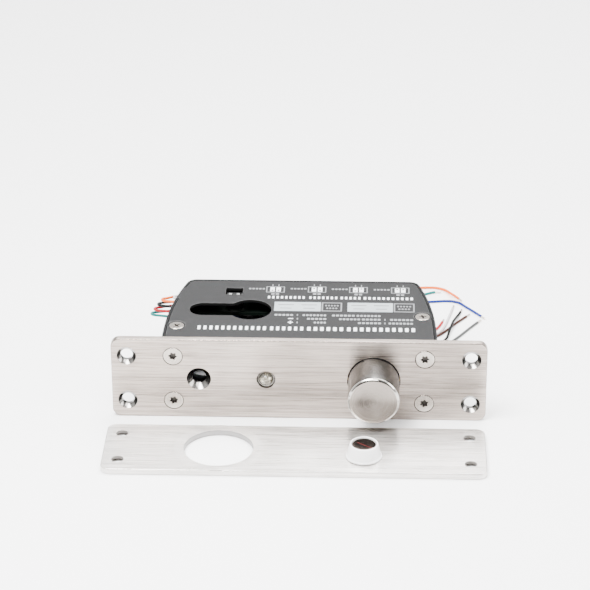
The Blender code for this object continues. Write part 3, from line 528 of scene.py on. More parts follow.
WIRES = {
    "wire_orange": ((0.72, 0.115, 0.012), -1.7, 28.6, 7.6, 2.5,
                    [(-50.2, 61.4, 23.0), (-34, 72, 15.5), (-18, 83, 8.0), (-4, 91, 2.6), (8, 97.5, 0), (24, 105.5, 0),
                     (38, 113.5, 0), (50.5, 117.4, 0), (57.0, 117.5, 0), (60.6, 115.6, 0.15), (63.4, 111.0, 0.7),
                     (65.9, 105.8, 1.45), (68.4, 101.4, 1.5)]),
    "wire_black": ((0.002, 0.002, 0.002), -1.7, 26.2, 9.4, 2.5,
                   [(-50.2, 61.4, 20.8), (-40, 74, 16.5), (-30, 82.0, 11.0), (-20, 83.5, 6.6), (-9, 77, 3.4),
                    (2, 70.5, 1.6), (13, 67.0, 0), (26, 65.6, 0), (40, 63.9, 0), (51, 63.2, 0), (57.2, 64.6, 0),
                    (60.6, 68.9, 0), (62.3, 75.5, 0.9), (63.8, 81.4, 1.75), (65.5, 88.0, 0.7), (67.2, 93.6, 0), (68.1, 97.0, 0)]),
    "wire_red": ((0.33, 0.01, 0.014), -1.7, 23.8, 11.0, 2.5,
                 [(-50.2, 61.4, 18.4), (-40, 68.5, 11.0), (-31, 75.4, 4.0), (-22, 79.3, 0), (0, 79.6, 0), (20, 77.4, 0),
                  (40, 73.9, 0), (49.5, 73.0, 0), (54.8, 75.2, 0), (57.5, 79.6, 0), (60.1, 87.2, 0)]),
    "wire_teal": ((0.006, 0.125, 0.115), -1.7, 21.4, 12.4, 2.5,
                  [(-50.2, 61.4, 16.0), (-42, 72, 8.6), (-34, 80, 2.8), (-25, 85.6, 0), (0, 92, 0), (24, 99, 0), (40, 106.4, 0),
                   (51.7, 110.9, 0), (56.4, 113.2, 0), (59.4, 113.3, 0)]),
    "wire_white": ((0.47, 0.445, 0.455), 1.7, 28.6, 3.4, 2.45,
                   [(-49.0, 59.2, 24.0), (-34, 66.5, 17.0), (-18, 73, 11.0), (-5, 75.6, 6.8), (6, 76.2, 2.6), (17, 75.2, 0),
                    (40, 70.9, 0), (51, 70.7, 0), (56.9, 73.6, 0), (59.6, 78.5, 0), (62.0, 88.0, 0), (64.7, 100.6, 0)]),
    "wire_blue": ((0.01, 0.022, 0.155), 1.7, 26.2, 3.6, 2.45,
                  [(-49.0, 59.2, 21.6), (-37, 68, 12.0), (-27, 77, 5.0), (-16, 83.5, 0), (0, 86.5, 0), (16, 91.0, 0),
                   (36, 99.5, 0), (48, 102.6, 0), (56, 104.0, 0), (62.6, 104.7, 0), (66.6, 103.4, 0), (69.6, 99.7, 0),
                   (73.3, 94.7, 0), (78.0, 88.0, 0)]),
    "wire_brown": ((0.038, 0.013, 0.008), 1.7, 23.8, 3.8, 2.45,
                   [(-49.0, 59.2, 19.2), (-41, 63.5, 10.5), (-34, 67.5, 3.8), (-25, 70.2, 0), (0, 71.0, 0), (20, 69.2, 0),
                    (40, 66.7, 0), (50, 67.2, 0), (56.6, 71.2, 0), (60.9, 76.8, 0), (64.8, 83.1, 0), (69.3, 89.4, 0), (71.4, 92.4, 0)]),
    "wire_grey": ((0.062, 0.062, 0.062), 1.7, 21.4, 4.0, 2.45,
                  [(-49.0, 59.2, 16.8), (-44, 62.2, 8.5), (-39, 64.5, 2.8), (-31, 65.9, 0), (-10, 65.8, 0), (20, 63.4, 0),
                   (42, 61.2, 0), (54, 61.2, 0), (61.0, 64.4, 0), (65.8, 70.7, 0), (69.8, 77.2, 0), (74.0, 83.9, 0), (76.2, 87.0, 0)]),
}


def wire_route(offset, height, reach, bend, rest):
    p = EXIT + ALONG * offset
    p = Vector((p.x, p.y, height))
    route = [p, p + OUT * ((reach - bend) * 0.6)]
    middle = p + OUT * (reach - bend) + ALONG * bend
    for deg in (25, 65, 105, 145):
        a = math.radians(deg)
        route.append(middle + (OUT * math.sin(a) - ALONG * math.cos(a)) * bend - Vector((0, 0, 0.008 * deg)))
    return route + [Vector((x, y, Z0 + z)) for x, y, z in rest]


def bezier_pieces(route):
    """The centripetal curve through the route, as exact Bezier pieces kept above the table."""
    p = [2 * route[0] - route[1]] + route + [2 * route[-1] - route[-2]]
    out = []
    for i in range(1, len(p) - 2):
        p0, p1, p2, p3 = p[i - 1:i + 3]
        d1, d2, d3 = (math.sqrt((b - a).length) for a, b in ((p0, p1), (p1, p2), (p2, p3)))
        h1 = (p2 * d1 ** 2 - p0 * d2 ** 2 + p1 * (2 * d1 ** 2 + 3 * d1 * d2 + d2 ** 2)) / (3 * d1 * (d1 + d2))
        h2 = (p1 * d3 ** 2 - p3 * d2 ** 2 + p2 * (2 * d3 ** 2 + 3 * d3 * d2 + d2 ** 2)) / (3 * d3 * (d3 + d2))
        for h in (h1, h2):
            h.z = max(h.z, Z0)
        out.append([p1.copy(), h1, h2, p2.copy()])
    return out


def on_piece(s, t):
    a, b, c, d = s
    return a * (1 - t) ** 3 + b * (3 * t * (1 - t) ** 2) + c * (3 * t * t * (1 - t)) + d * t ** 3


def piece_length(s, t0=0.0, t1=1.0, n=40):
    q = [on_piece(s, t0 + (t1 - t0) * i / n) for i in range(n + 1)]
    return sum((b - a).length for a, b in zip(q, q[1:]))


def cut_pieces(pieces, tail):
    """Splits the curve so that the second part has the length tail."""
    left, i = tail, len(pieces) - 1
    while piece_length(pieces[i]) < left and i > 0:
        left -= piece_length(pieces[i])
        i -= 1
    lo, hi = 0.0, 1.0
    for _ in range(40):
        mid = (lo + hi) / 2
        if piece_length(pieces[i], mid, 1.0) > left:
            lo = mid
        else:
            hi = mid
    t = (lo + hi) / 2
    a, b, c, d = pieces[i]
    ab, bc, cd = a.lerp(b, t), b.lerp(c, t), c.lerp(d, t)
    abc, bcd = ab.lerp(bc, t), bc.lerp(cd, t)
    m = abc.lerp(bcd, t)
    return pieces[:i] + [[a, ab, abc, m]], [[m, bcd, cd, d]] + pieces[i + 1:]


def sweep(name, pts, mat, section, seg=12, caps=True):
    """A tube along points. section(s, angle) gives the radius in mm at distance s."""
    s = Solid(W)
    n = len(pts)
    tangent = [(pts[min(i + 1, n - 1)] - pts[max(i - 1, 0)]).normalized() for i in range(n)]
    side = tangent[0].orthogonal().normalized()
    run, prev, first = 0.0, None, None
    for i, p in enumerate(pts):
        if i:
            run += (p - pts[i - 1]).length
        side = (side - tangent[i] * side.dot(tangent[i])).normalized()
        up_ = tangent[i].cross(side)
        ring = s.ring([tuple(p + (side * math.cos(2 * math.pi * k / seg) + up_ * math.sin(2 * math.pi * k / seg))
                             * section(run, 2 * math.pi * k / seg)) for k in range(seg)])
        if prev:
            s.band(prev, ring, mat)
        first = first or ring
        prev = ring
    if caps:
        s.face(first, mat, 0, False)
        s.face(prev, mat, 0, False)
    return s


def insulation(name, rgb):
    g = Graph(name)
    slow = g.noise(g.co, 90.0, 3.0)
    fine = g.noise(g.co, 3500.0, 2.0)
    g.link(g.mix(g.ramp(slow, 0, 1), g.rgb(shade(rgb, 0.86)), g.rgb(shade(rgb, 1.1))), g.b.inputs["Base Color"])
    g.link(g.ramp(fine, 0.36, 0.50), g.b.inputs["Roughness"])
    g.b.inputs["Specular IOR Level"].default_value = 0.15
    g.link(g.bump(fine, 0.000003), g.b.inputs["Normal"])
    return g.m


wire_starts = []
for name, (rgb, offset, height, reach, bend, rest) in WIRES.items():
    pieces = bezier_pieces(wire_route(offset, height, reach, bend, rest))
    body, tail = cut_pieces(pieces, TIP)
    start = body[0][0]
    wire_starts.append(start)
    cu = bpy.data.curves.new(name + "_insulation", "CURVE")
    cu.dimensions = "3D"
    cu.resolution_u = 10
    cu.bevel_depth = WIRE_R * MM
    cu.bevel_resolution = 3
    cu.use_fill_caps = True
    sp = cu.splines.new("BEZIER")
    sp.bezier_points.add(len(body))
    knots = [s[0] for s in body] + [body[-1][3]]
    for i, (bp, k) in enumerate(zip(sp.bezier_points, knots)):
        bp.handle_left_type = bp.handle_right_type = "FREE"
        bp.co = W(*k)
        lh = body[i - 1][2] if i else 2 * k - body[0][1]
        rh = body[i][1] if i < len(body) else 2 * k - body[-1][2]
        bp.handle_left, bp.handle_right = W(*lh), W(*rh)
    wire = bpy.data.objects.new(name + "_insulation", cu)
    cu.materials.append(insulation(name + "_pvc", rgb))
    bpy.context.scene.collection.objects.link(wire)
    # the stripped, tinned end: a twisted bundle of strands
    pts = [body[-1][3] - (body[-1][3] - body[-1][2]).normalized() * 0.8]
    for s in tail:
        steps = max(3, int(piece_length(s) / 0.18))
        pts += [on_piece(s, i / steps) for i in range(0 if len(pts) == 1 else 1, steps + 1)]
    total = sum((b - a).length for a, b in zip(pts, pts[1:]))
    tip = sweep(name + "_tip", pts, "tin",
                lambda s, a, t=total: (0.34 + 0.05 * math.cos(7 * a + s * 2.6)) * min(1.0, 0.55 + (t - s) * 1.6), 28)
    tip = tip.done(name + "_strands", 60, keep=True)
    settle(wire, "lock", name)
    settle(tip, "lock")

# the rubber grommet with a collar round each wire
s = Solid(W)
ax, ay = OUT, ALONG
centre = Vector(SLOT_MID)


def wall_point(o, a, z):
    p = Vector(SLOT_MID) - OUT * o + ALONG * a
    return (p.x, p.y, z)


gr = [rounded_rect(7.7, 12.4, 0.6, 5, 0.0, 24.5)]
rings = []
for d, o in [(0.0, 3.4), (0.0, 0.45)] + [(0.3 * (1 - math.cos(math.radians(a))), 0.45 - 0.3 * math.sin(math.radians(a))) for a in (30, 60, 90)]:
    rings.append(s.ring([wall_point(o, a, z) for a, z in inset(gr[0], d)]))
for a, b in zip(rings, rings[1:]):
    s.band(a, b, "rubber", 0.0)
s.cap([rings[0]], "rubber")
s.cap([rings[-1]], "rubber")
for st in wire_starts:
    a0 = (st - EXIT).dot(ALONG)
    prev = None
    for r, o in ((1.05, 0.3), (1.05, -0.1), (0.92, -0.3), (0.6, -0.3), (0.56, 0.1)):
        ring = s.ring([wall_point(o, a0 + r * math.cos(2 * math.pi * k / 20), st.z + r * math.sin(2 * math.pi * k / 20)) for k in range(20)])
        if prev:
            s.band(prev, ring, "rubber")
        else:
            s.cap([ring], "rubber")
        prev = ring
    s.cap([prev], "rubber")
s.done("wire_grommet_moulded", 38, "lock", "wire_grommet", "rubber")

# ------------------------------------------------------------------ plates
PLATE_L, PLATE_W, PLATE_R = 150.0, 35.0, 3.6


def P(x, y, h):
    """Faceplate: outline (x, z) with its height measured from the front face into the lock."""
    return W(x, h, y)


def plate(name, place, thick, edge, holes, mat, body, replaces, slot, cz=0.0, front_at=0.0):
    """A flat plate with rounded edges. holes: (outline, plan, material of the wall)."""
    s = Solid(place)
    outline = rounded_rect(PLATE_L, PLATE_W, PLATE_R, 14, 0, cz)
    f = front_at
    plan = [(d, f + (edge - (z - (0 - edge)))) for d, z in round_edge(edge, 0.0)]
    plan = [(edge * (1 - math.cos(math.radians(a))), f + edge - edge * math.sin(math.radians(a))) for a in (90, 67, 45, 22, 0)]
    plan += [(edge * (1 - math.cos(math.radians(a))), f + thick - edge + edge * math.sin(math.radians(a))) for a in (0, 22, 45, 67, 90)]
    rings = s.tube_of(outline, plan, mat, (0, 1, 2, 3, 5, 6, 7, 8))
    tops, bottoms = [rings[0]], [rings[-1]]
    for pts, steps, wall in holes:
        hr = []
        for d, h in steps:
            hr.append(s.ring([(x, y, h) for x, y in inset(pts, -d)]))
        for i, (a, b) in enumerate(zip(hr, hr[1:])):
            dish = wall == "dish"
            s.band(a, b, ("polish" if i > 4 else "bore") if dish else wall, 1.0 if i < 2 and not dish else 0.0)
        tops.append(hr[0])
        bottoms.append(hr[-1])
    s.cap(tops, mat)
    s.cap(bottoms, mat)
    return s.done(name, 38, body, replaces, slot, grain=True)


def countersunk(r, r_csk, thick, lip=0.12):
    """(outward growth from r, depth) steps of a countersunk hole, from the front face."""
    c = r_csk - r
    return [(c + lip, 0.0), (c + lip * 0.35, lip * 0.3), (c, lip * 0.95), (0.0, c + lip * 0.5), (0.0, thick - 0.1), (0.1, thick)]


def straight(thick, lip=0.15):
    return [(lip, 0.0), (lip * 0.3, lip * 0.3), (0.0, lip), (0.0, thick - lip), (lip, thick)]


corner = [(sx * 68.75, MID_Z + sz * 10.0) for sx in (-1, 1) for sz in (-1, 1)]
fixing = [(sx * 50.25, MID_Z + sz * 10.0) for sx in (-1, 1) for sz in (-1, 1)]
holes = [(circle(x, z, 2.45, 48), countersunk(2.45, 3.8, 3.0), "countersink") for x, z in corner]
holes += [(circle(x, z, 2.3, 48), countersunk(2.3, 3.97, 3.0, 0.06), "gap") for x, z in fixing]
holes += [(circle(-40.0, MID_Z, 2.8, 56), countersunk(2.8, 4.8, 3.0, 0.10), "countersink"),
          (circle(-13.1, MID_Z, 3.6, 56), straight(3.0, 0.25), "countersink"),
          (circle(30.0, MID_Z, 10.5, 112), [(0.14, 0.0), (0.03, 0.05), (0.0, 0.16), (0.0, 2.85), (0.45, 3.0)], "gap")]
plate("faceplate_brushed", P, 3.0, 0.3, holes, "plate", "lock", "faceplate", "stainless", MID_Z)


def SP(x, y, h):
    """Strike plate: outline (x, y), height from its underside (the face side, lying down)."""
    return S(x, y, h)


sholes = [(circle(sx * 68.75, sy * 10.0, 2.35, 48), countersunk(2.35, 3.85, 2.5), "small_bore") for sx in (-1, 1) for sy in (-1, 1)]
sholes += [(circle(-29.9, 0.0, 13.6, 128), [(0.3, 0.0), (0.09, 0.09), (0.0, 0.3), (0.0, 2.2), (0.03, 2.3), (0.12, 2.38), (1.2, 2.43), (2.4, 2.475), (3.3, 2.493), (4.0, 2.5)], "dish"),
           (circle(27.2, -5.3, 4.4, 64), straight(2.5, 0.1), "strike")]
plate("strike_plate_brushed", SP, 2.5, 0.3, sholes, "strike", "strike", "strike_plate", "stainless_strike")

# ------------------------------------------------------------------ screws
def star(cx, cy, r_out, r_in, n=72):
    pts = []
    for i in range(n):
        a = 2 * math.pi * i / n
        k = 0.5 + 0.5 * math.cos(6 * a)
        r = r_in + (r_out - r_in) * k ** 0.8
        pts.append((cx + r * math.cos(a), cy + r * math.sin(a)))
    return pts


def screw(name, place, cx, cy, r_head, r_shank, cone, length, recess, depth, taper, body, replaces, slot, turn=0.0):
    """A flat-head screw with a recess. Heights grow from the head's face into the hole."""
    s = Solid(place)
    n = 72
    prof = [(r_head - 0.22, 0.0), (r_head - 0.08, 0.03), (r_head, 0.12), (r_shank, cone + 0.12)]
    thread = []
    z = cone + 0.5
    while z < length - 0.8:
        thread += [(r_shank, z), (r_shank - 0.16, z + 0.17), (r_shank - 0.16, z + 0.23), (r_shank, z + 0.40)]
        z += 0.5
    prof += thread + [(r_shank, length - 0.4), (r_shank - 0.4, length)]
    rings = [s.ring([(cx + r * math.cos(2 * math.pi * k / n), cy + r * math.sin(2 * math.pi * k / n), h) for k in range(n)]) for r, h in prof]
    for i, (a, b) in enumerate(zip(rings, rings[1:])):
        s.band(a, b, "screw", 1.0 if i < 2 else 0.0)
    s.cap([rings[-1]], "screw")
    rec = [s.ring([(x, y, h) for x, y in inset(recess, d)]) for d, h in ((-0.05, 0.0), (0.0, 0.08), (taper * 0.5, depth * 0.6), (taper, depth))]
    for i, (a, b) in enumerate(zip(rec, rec[1:])):
        s.band(a, b, "screw" if i == 0 else "recess", 0.0, False)
    s.cap([rec[-1]], "recess")
    s.cap([rings[0], rec[0]], "screw")
    return s.done(name, 38, body, replaces, slot)


for k, (x, z) in enumerate(fixing, 1):
    turn = (14, -9, 22, 3)[k - 1]
    pts = [(x + (px) * math.cos(math.radians(turn)) - (pz) * math.sin(math.radians(turn)),
            z + (px) * math.sin(math.radians(turn)) + (pz) * math.cos(math.radians(turn))) for px, pz in star(0, 0, 1.75, 1.15)]
    screw("faceplate_screw_%d_torx" % k, lambda a, b, h: W(a, h + 0.05, b), x, z, 3.76, 2.0, 1.7, 12.0, pts, 1.4, 0.12,
          "lock", "faceplate_screw_%d" % k, "screw_steel")


def cross(cx, cy, arm, half, turn):
    pts = []
    for q in range(4):
        a = math.radians(turn + 90 * q)
        for px, py in ((half * 1.15, -half * 1.15), (arm * 0.6, -half), (arm * 0.96, -half * 0.72), (arm, 0.0), (arm * 0.96, half * 0.72), (arm * 0.6, half)):
            pts.append((cx + px * math.cos(a) - py * math.sin(a), cy + px * math.sin(a) + py * math.cos(a)))
    return pts


COVER_SCREWS = ((-49.9, 17.7), (49.5, 28.0))
for k, ((x, y), turn) in enumerate(zip(COVER_SCREWS, (38, 12)), 1):
    screw("cover_screw_%d_cross" % k, lambda a, b, h: W(a, b, 32.32 - h), x, y, 2.97, 1.4, 1.57, 10.0,
          cross(x, y, 1.65, 0.36, turn), 1.15, 0.14, "lock", "cover_screw_%d" % k, "screw_steel")
for k, x in enumerate((2.0, 12.0), 1):
    screw("solenoid_screw_%d_cross" % k, lambda a, b, h: W(a, b, 2.6 + h), x, 45.4, 2.9, 1.4, 1.5, 4.5,
          cross(x, 45.4, 1.5, 0.34, 20 * k), 1.0, 0.14, "lock", "solenoid_screw_%d" % k, "screw_steel")

# ------------------------------------------------------------------ bolt
# heights grow towards the viewer; the front face is at 17.2
prof = [(0.0, 17.2), (3.0, 17.2), (6.0, 17.195), (9.1, 17.18), (9.32, 17.15), (9.46, 17.08)]
prof += [(10.13, 16.44), (10.21, 16.3), (10.25, 16.1)]
prof += [(10.25, h) for h in (12.0, 6.0, 0.0, -6.0, -13.4)] + [(10.15, -13.7), (9.95, -14.0), (2.3, -14.0), (2.3, -5.0), (0.0, -5.0)]
turned("bolt_turned", prof, front(30.0, MID_Z), "bolt", 128, (3, 4, 6, 7), "bolt", "bolt", "turned_steel", 50,
       {**{4: "chamfer", 5: "chamfer", 6: "chamfer"}, **{i: "bolt_side" for i in range(7, 18)}})

# ------------------------------------------------------------------ indicator light
L = front(-13.1, MID_Z)
dome = [(0.0, 2.0)] + [(2.7 * math.sin(math.radians(a)), 2.0 - 2.7 * (1 - math.cos(math.radians(a)))) for a in range(8, 91, 8)]
turned("led_lens_dome", dome + [(2.7, -0.8), (2.7, -8.9), (2.55, -9.1), (0.0, -9.1)], L, "led", 64, (), "lock", "led_lens", "led_clear", 50)
turned("led_holder_ring", [(3.02, -0.72), (3.08, -0.62), (3.22, -0.6), (3.3, -0.7), (3.3, -9.5), (3.02, -9.5), (3.02, -0.72)], L, "bezel", 64, (0, 1, 2),
       "lock", "led_holder", "black_plastic", 50)
# the metal parts that show inside the lens
s = Solid(lambda x, y, h: W(-13.1 + x, -h, MID_Z + y))
for pts, lo, hi in (([(-1.9, -0.5), (-0.3, -0.5), (-0.3, 0.5), (-1.9, 0.5)], -5.5, -0.6), ([(0.5, -0.45), (1.5, -0.45), (1.5, 0.45), (0.5, 0.45)], -5.5, -0.9)):
    rr = [s.ring([(x, y, h) for x, y in inset(pts, d)]) for d, h in ((0.0, lo), (0.0, hi - 0.12), (0.12, hi))]
    s.band(rr[0], rr[1], "lead", 0, False)
    s.band(rr[1], rr[2], "lead", 0, False)
    s.cap([rr[0]], "lead")
    s.cap([rr[2]], "lead")
s.done("led_lead_frame", 30, "lock")
turned("led_reflector", [(0.0, -0.62), (0.35, -0.55), (0.66, -0.25), (0.75, -0.25), (0.75, -0.8), (0.0, -0.8)],
       front(-14.2, MID_Z), "lead", 32, (), "lock", (), None, 40)

# ------------------------------------------------------------------ magnet cup and magnet
CUP = upright(27.2, -5.3, 2.5, S)
prof = [(4.90, 1.0), (4.90, 5.55), (4.93, 5.78), (5.03, 5.91), (5.16, 5.95), (5.34, 5.93), (5.50, 5.82), (5.61, 5.6), (5.85, 4.6), (6.25, 2.9), (6.55, 1.6),
        (6.68, 1.15), (6.86, 0.95), (7.02, 0.82), (7.10, 0.68), (7.08, 0.3), (4.1, 0.3), (4.1, -2.2), (3.2, -2.3), (3.2, 0.9), (4.90, 1.0)]
turned("magnet_cup", prof, CUP, "cup", 96, (), "strike", "magnet_holder", "white_plastic", 50)
turned("magnet_disc", [(0.0, 5.58), (2.0, 5.58), (4.15, 5.6), (4.43, 5.57), (4.58, 5.46), (4.64, 5.28), (4.64, 1.5), (4.54, 1.36), (0.0, 1.36)],
       CUP, "magnet", 72, (3, 4), "strike", "magnet", "magnet_grey", 50)
# a marker stroke across the magnet
s = Solid(lambda x, y, h: S(27.2 + x, y - 5.3, 2.5 + h))
d = Vector((5.8, -4.35)).normalized()
e = Vector((-d.y, d.x))
pts = []
for k in range(13):
    t = -3.35 + 7.1 * k / 12
    pts.append((Vector((0.05, -0.75)) + d * t + e * (0.20 + 0.05 * math.sin(k * 1.7))))
for k in range(12, -1, -1):
    t = -3.35 + 7.1 * k / 12
    pts.append((Vector((0.05, -0.75)) + d * t - e * (0.20 + 0.05 * math.sin(k * 2.3))))
pts = [tuple(p * min(1.0, 4.15 / max(p.length, 1e-6))) for p in pts]
lo_ring = s.ring([(x, y, 5.55) for x, y in pts])
hi_ring = s.ring([(x, y, 5.62) for x, y in pts])
s.band(lo_ring, hi_ring, "red_line", 0, False)
s.cap([lo_ring], "red_line")
s.cap([hi_ring], "red_line")
s.done("magnet_mark", 30, "strike")

# ------------------------------------------------------------------ case
def case_outline(d, step=1.25):
    ys = [3.3]
    while ys[-1] + step < 56.1:
        ys.append(ys[-1] + step)
    ys.append(56.1)
    side = [(half_width(y), y) for y in ys]
    x0, y0 = side[-1]
    n = 12
    for i in range(1, n + 1):
        t = i / n
        side.append(((1 - t) ** 2 * x0 + 2 * t * (1 - t) * 47.4 + t * t * 44.0,
                     (1 - t) ** 2 * y0 + 2 * t * (1 - t) * 59.4 + t * t * 59.4))
    return inset(side + [(-x, y) for x, y in reversed(side)], d)


def euro(grow=0.0):
    r, t = 8.75 + grow, 5.4 + grow
    a = math.degrees(math.asin(t / r))
    return arc(-20.9, 32.1, r, -180 + a, 180 - a, 72) + arc(-40.3, 32.1, t, 90, 270, 36)


def prism(name, pts, lo, hi, place=W, mat="case_in"):
    s = Solid(place)
    a, b = s.ring([(x, y, lo) for x, y in pts]), s.ring([(x, y, hi) for x, y in pts])
    s.band(a, b, mat, 0, False)
    s.cap([a], mat)
    s.cap([b], mat)
    return s.done(name, 38, keep=True)


def subtract(o, cutter, op="DIFFERENCE"):
    bpy.context.view_layer.update()
    m = o.modifiers.new("cut", "BOOLEAN")
    m.operation = op
    m.object = cutter
    m.solver = "EXACT"
    m.material_mode = "TRANSFER"
    apply_all(o)
    bpy.data.objects.remove(cutter, do_unlink=True)


s = Solid(W)
outline = case_outline(0)
plan = [(0.45 * (1 - math.sin(math.radians(a))), 2.5 + 0.45 * (1 - math.cos(math.radians(a)))) for a in (0, 30, 60, 90)]
plan += [(0.0, 10.0), (0.0, 24.0)]
plan += [(0.28 * (1 - math.cos(math.radians(a))), 32.5 - 0.28 + 0.28 * math.sin(math.radians(a))) for a in (0, 30, 60, 90)]
n_out = len(plan) - 1
plan += [(1.1 - 0.15 * (1 - math.sin(math.radians(a))), 32.5 - 0.15 * (1 - math.cos(math.radians(a)))) for a in (0, 45, 90)]
plan += [(1.1, 31.0)]
n_rim = len(plan) - 1
plan += [(2.4, 31.0), (2.4, 4.5)]
rings = []
for i, (d, z) in enumerate(plan):
    rings.append(s.ring([(x, y, z) for x, y in inset(outline, d)]))
for i, (a, b) in enumerate(zip(rings, rings[1:])):
    s.band(a, b, "case" if i < n_rim else "case_in", 1.0 if i in (0, 1, 2, 6, 7, 8, 10, 11) else 0.0)
s.cap([rings[0]], "case")
s.cap([rings[-1]], "case_in")
case = s.done("case_body_cast", 38, keep=True)
subtract(case, prism("c1", euro(), 0, 12))
s = Solid(W)
c0, c1 = s.ring([wall_point(3 - 0, a, z) for a, z in ((-4.15, 18), (4.15, 18), (4.15, 36), (-4.15, 36))]), None
c1 = s.ring([wall_point(-3, a, z) for a, z in ((-4.15, 18), (4.15, 18), (4.15, 36), (-4.15, 36))])
s.band(c0, c1, "case_in", 0, False)
s.cap([c0], "case_in")
s.cap([c1], "case_in")
subtract(case, s.done("c2", 30, keep=True))
subtract(case, prism("c3", [(-54.5, 41.7), (-46.5, 41.7), (-46.5, 52.0), (-54.5, 52.0)], 31.0, 36))
for name, cx, r in (("c4", 30.0, 10.8), ("c5", -13.1, 3.9), ("c6", -40.0, 3.0)):
    subtract(case, prism(name, circle(cx, MID_Z, r, 72), 1, 9, lambda x, y, h: W(x, h, y)))
for k, (x, z) in enumerate(fixing):
    subtract(case, prism("c7_%d" % k, circle(x, z, 2.3, 32), 0, 9, lambda x, y, h: W(x, h, y)))
for k, x in enumerate((2.0, 12.0)):
    s = Solid(W)
    rr = [s.ring([(px, py, h) for px, py in circle(x, 45.4, r, 40)]) for r, h in ((3.7, 1.8), (1.8, 3.7), (1.8, 8.0))]
    s.band(rr[0], rr[1], "case", 0, False)
    s.band(rr[1], rr[2], "case", 0, False)
    s.cap([rr[0]], "case")
    s.cap([rr[2]], "case")
    subtract(case, s.done("c8_%d" % k, 30, keep=True))
case.data.set_sharp_from_angle(angle=math.radians(38))
settle(case, "lock", "case_body")

# the inner bosses that hold the screws
s = Solid(W)
for x, y in COVER_SCREWS:
    rr = [s.ring([(px, py, h) for px, py in circle(x, y, r, 40)]) for r, h in ((3.2, 4.5), (3.2, 30.75), (3.05, 30.9), (1.8, 30.9), (1.8, 20.0))]
    for a, b in zip(rr, rr[1:]):
        s.band(a, b, "case_in")
    s.cap([rr[0]], "case_in")
    s.cap([rr[-1]], "case_in")
for x, y in ((-40.5, 52.5), (-15.5, 52.5)):
    rr = [s.ring([(px, py, h) for px, py in circle(x, y, r, 32)]) for r, h in ((2.3, 4.5), (2.3, 24.1), (2.2, 24.2), (1.3, 24.2), (1.3, 16.0))]
    for a, b in zip(rr, rr[1:]):
        s.band(a, b, "case_in")
    s.cap([rr[0]], "case_in")
    s.cap([rr[-1]], "case_in")
s.done("case_bosses", 38, "lock")

# ------------------------------------------------------------------ cover
def cover_outline():
    rim = case_outline(1.4)
    out, left = [], False
    for x, y in rim:
        if x < -40 and 42.0 < y < 51.7 and y > 30:
            continue
        if x < -40 and y <= 42.0 and not left:
            left = True
            for ty in (51.7, 50.0, 48.0, 46.0, 44.0, 42.0):
                if ty == 51.7:
                    out.append((-(half_width(ty) - 1.4), ty))
                out.append((-(half_width(ty) - 0.05), ty))
                if ty == 42.0:
                    out.append((-(half_width(ty) - 1.4), ty))
        out.append((x, y))
    return out


s = Solid(W)
Z_LO, Z_HI, E = 31.3, 32.5, 0.16
edge_plan = [(E * (1 - math.sin(math.radians(a))), Z_HI - E * (1 - math.cos(math.radians(a)))) for a in (0, 30, 60, 90)] + [(0.0, Z_LO)]
tops, bottoms = [], []
for pts, sgn, wall in ((cover_outline(), 1, "cover"), (euro(), -1, "case_in"), (rounded_rect(7.05, 5.8, 0.4, 6, -28.25, 48.5), -1, "case_in")):
    rr = [s.ring([(x, y, z) for x, y in inset(pts, sgn * d)]) for d, z in edge_plan]
    for i, (a, b) in enumerate(zip(rr, rr[1:])):
        s.band(a, b, "cover" if i < 2 else wall, 1.0 if i < 2 else 0.0)
    tops.append(rr[0])
    bottoms.append(rr[-1])
for x, y in COVER_SCREWS:
    rr = [s.ring([(px, py, z) for px, py in circle(x, y, r, 56)]) for r, z in ((3.85, Z_HI), (3.68, Z_HI - 0.04), (3.55, Z_HI - 0.15), (1.8, 31.42), (1.8, Z_LO))]
    for i, (a, b) in enumerate(zip(rr, rr[1:])):
        s.band(a, b, "cover", 1.0 if i < 2 else 0.0)
    tops.append(rr[0])
    bottoms.append(rr[-1])
s.cap(tops, "cover")
s.cap(bottoms, "cover")
s.done("case_cover_painted", 38, "lock", "case_cover", "cover_grey")

# ------------------------------------------------------------------ generic marks printed on the cover
# plain bars, blank panels and switch pictograms: no letters
ink = Solid(W)
INK = 32.5


def bar(x0, x1, y0, y1, mat, r=0.12, lift=0.03, hole=None):
    pts = rounded_rect(x1 - x0, y1 - y0, min(r, (x1 - x0) / 2.01, (y1 - y0) / 2.01), 3, (x0 + x1) / 2, (y0 + y1) / 2)
    a = ink.ring([(x, y, INK - 0.01) for x, y in pts])
    b = ink.ring([(x, y, INK + lift) for x, y in pts])
    ink.band(a, b, mat, 0, False)
    ta, tb = [a], [b]
    if hole:
        hx0, hx1, hy0, hy1 = hole
        hp = rounded_rect(hx1 - hx0, hy1 - hy0, min(0.1, (hx1 - hx0) / 2.01), 3, (hx0 + hx1) / 2, (hy0 + hy1) / 2)
        c = ink.ring([(x, y, INK - 0.01) for x, y in hp])
        d = ink.ring([(x, y, INK + lift) for x, y in hp])
        ink.band(c, d, mat, 0, False)
        ta.append(c)
        tb.append(d)
    ink.cap(ta, mat)
    ink.cap(tb, mat)


def dashes(x0, x1, y, h, pitch, share, mat, r):
    """An even row of plain rounded blocks between x0 and x1."""
    n = max(1, round((x1 - x0 + pitch * (1 - share)) / pitch))
    step = (x1 - x0 + pitch * (1 - share)) / n
    for i in range(n):
        a = x0 + i * step
        bar(a, a + step - pitch * (1 - share), y - h / 2, y + h / 2, mat, r)


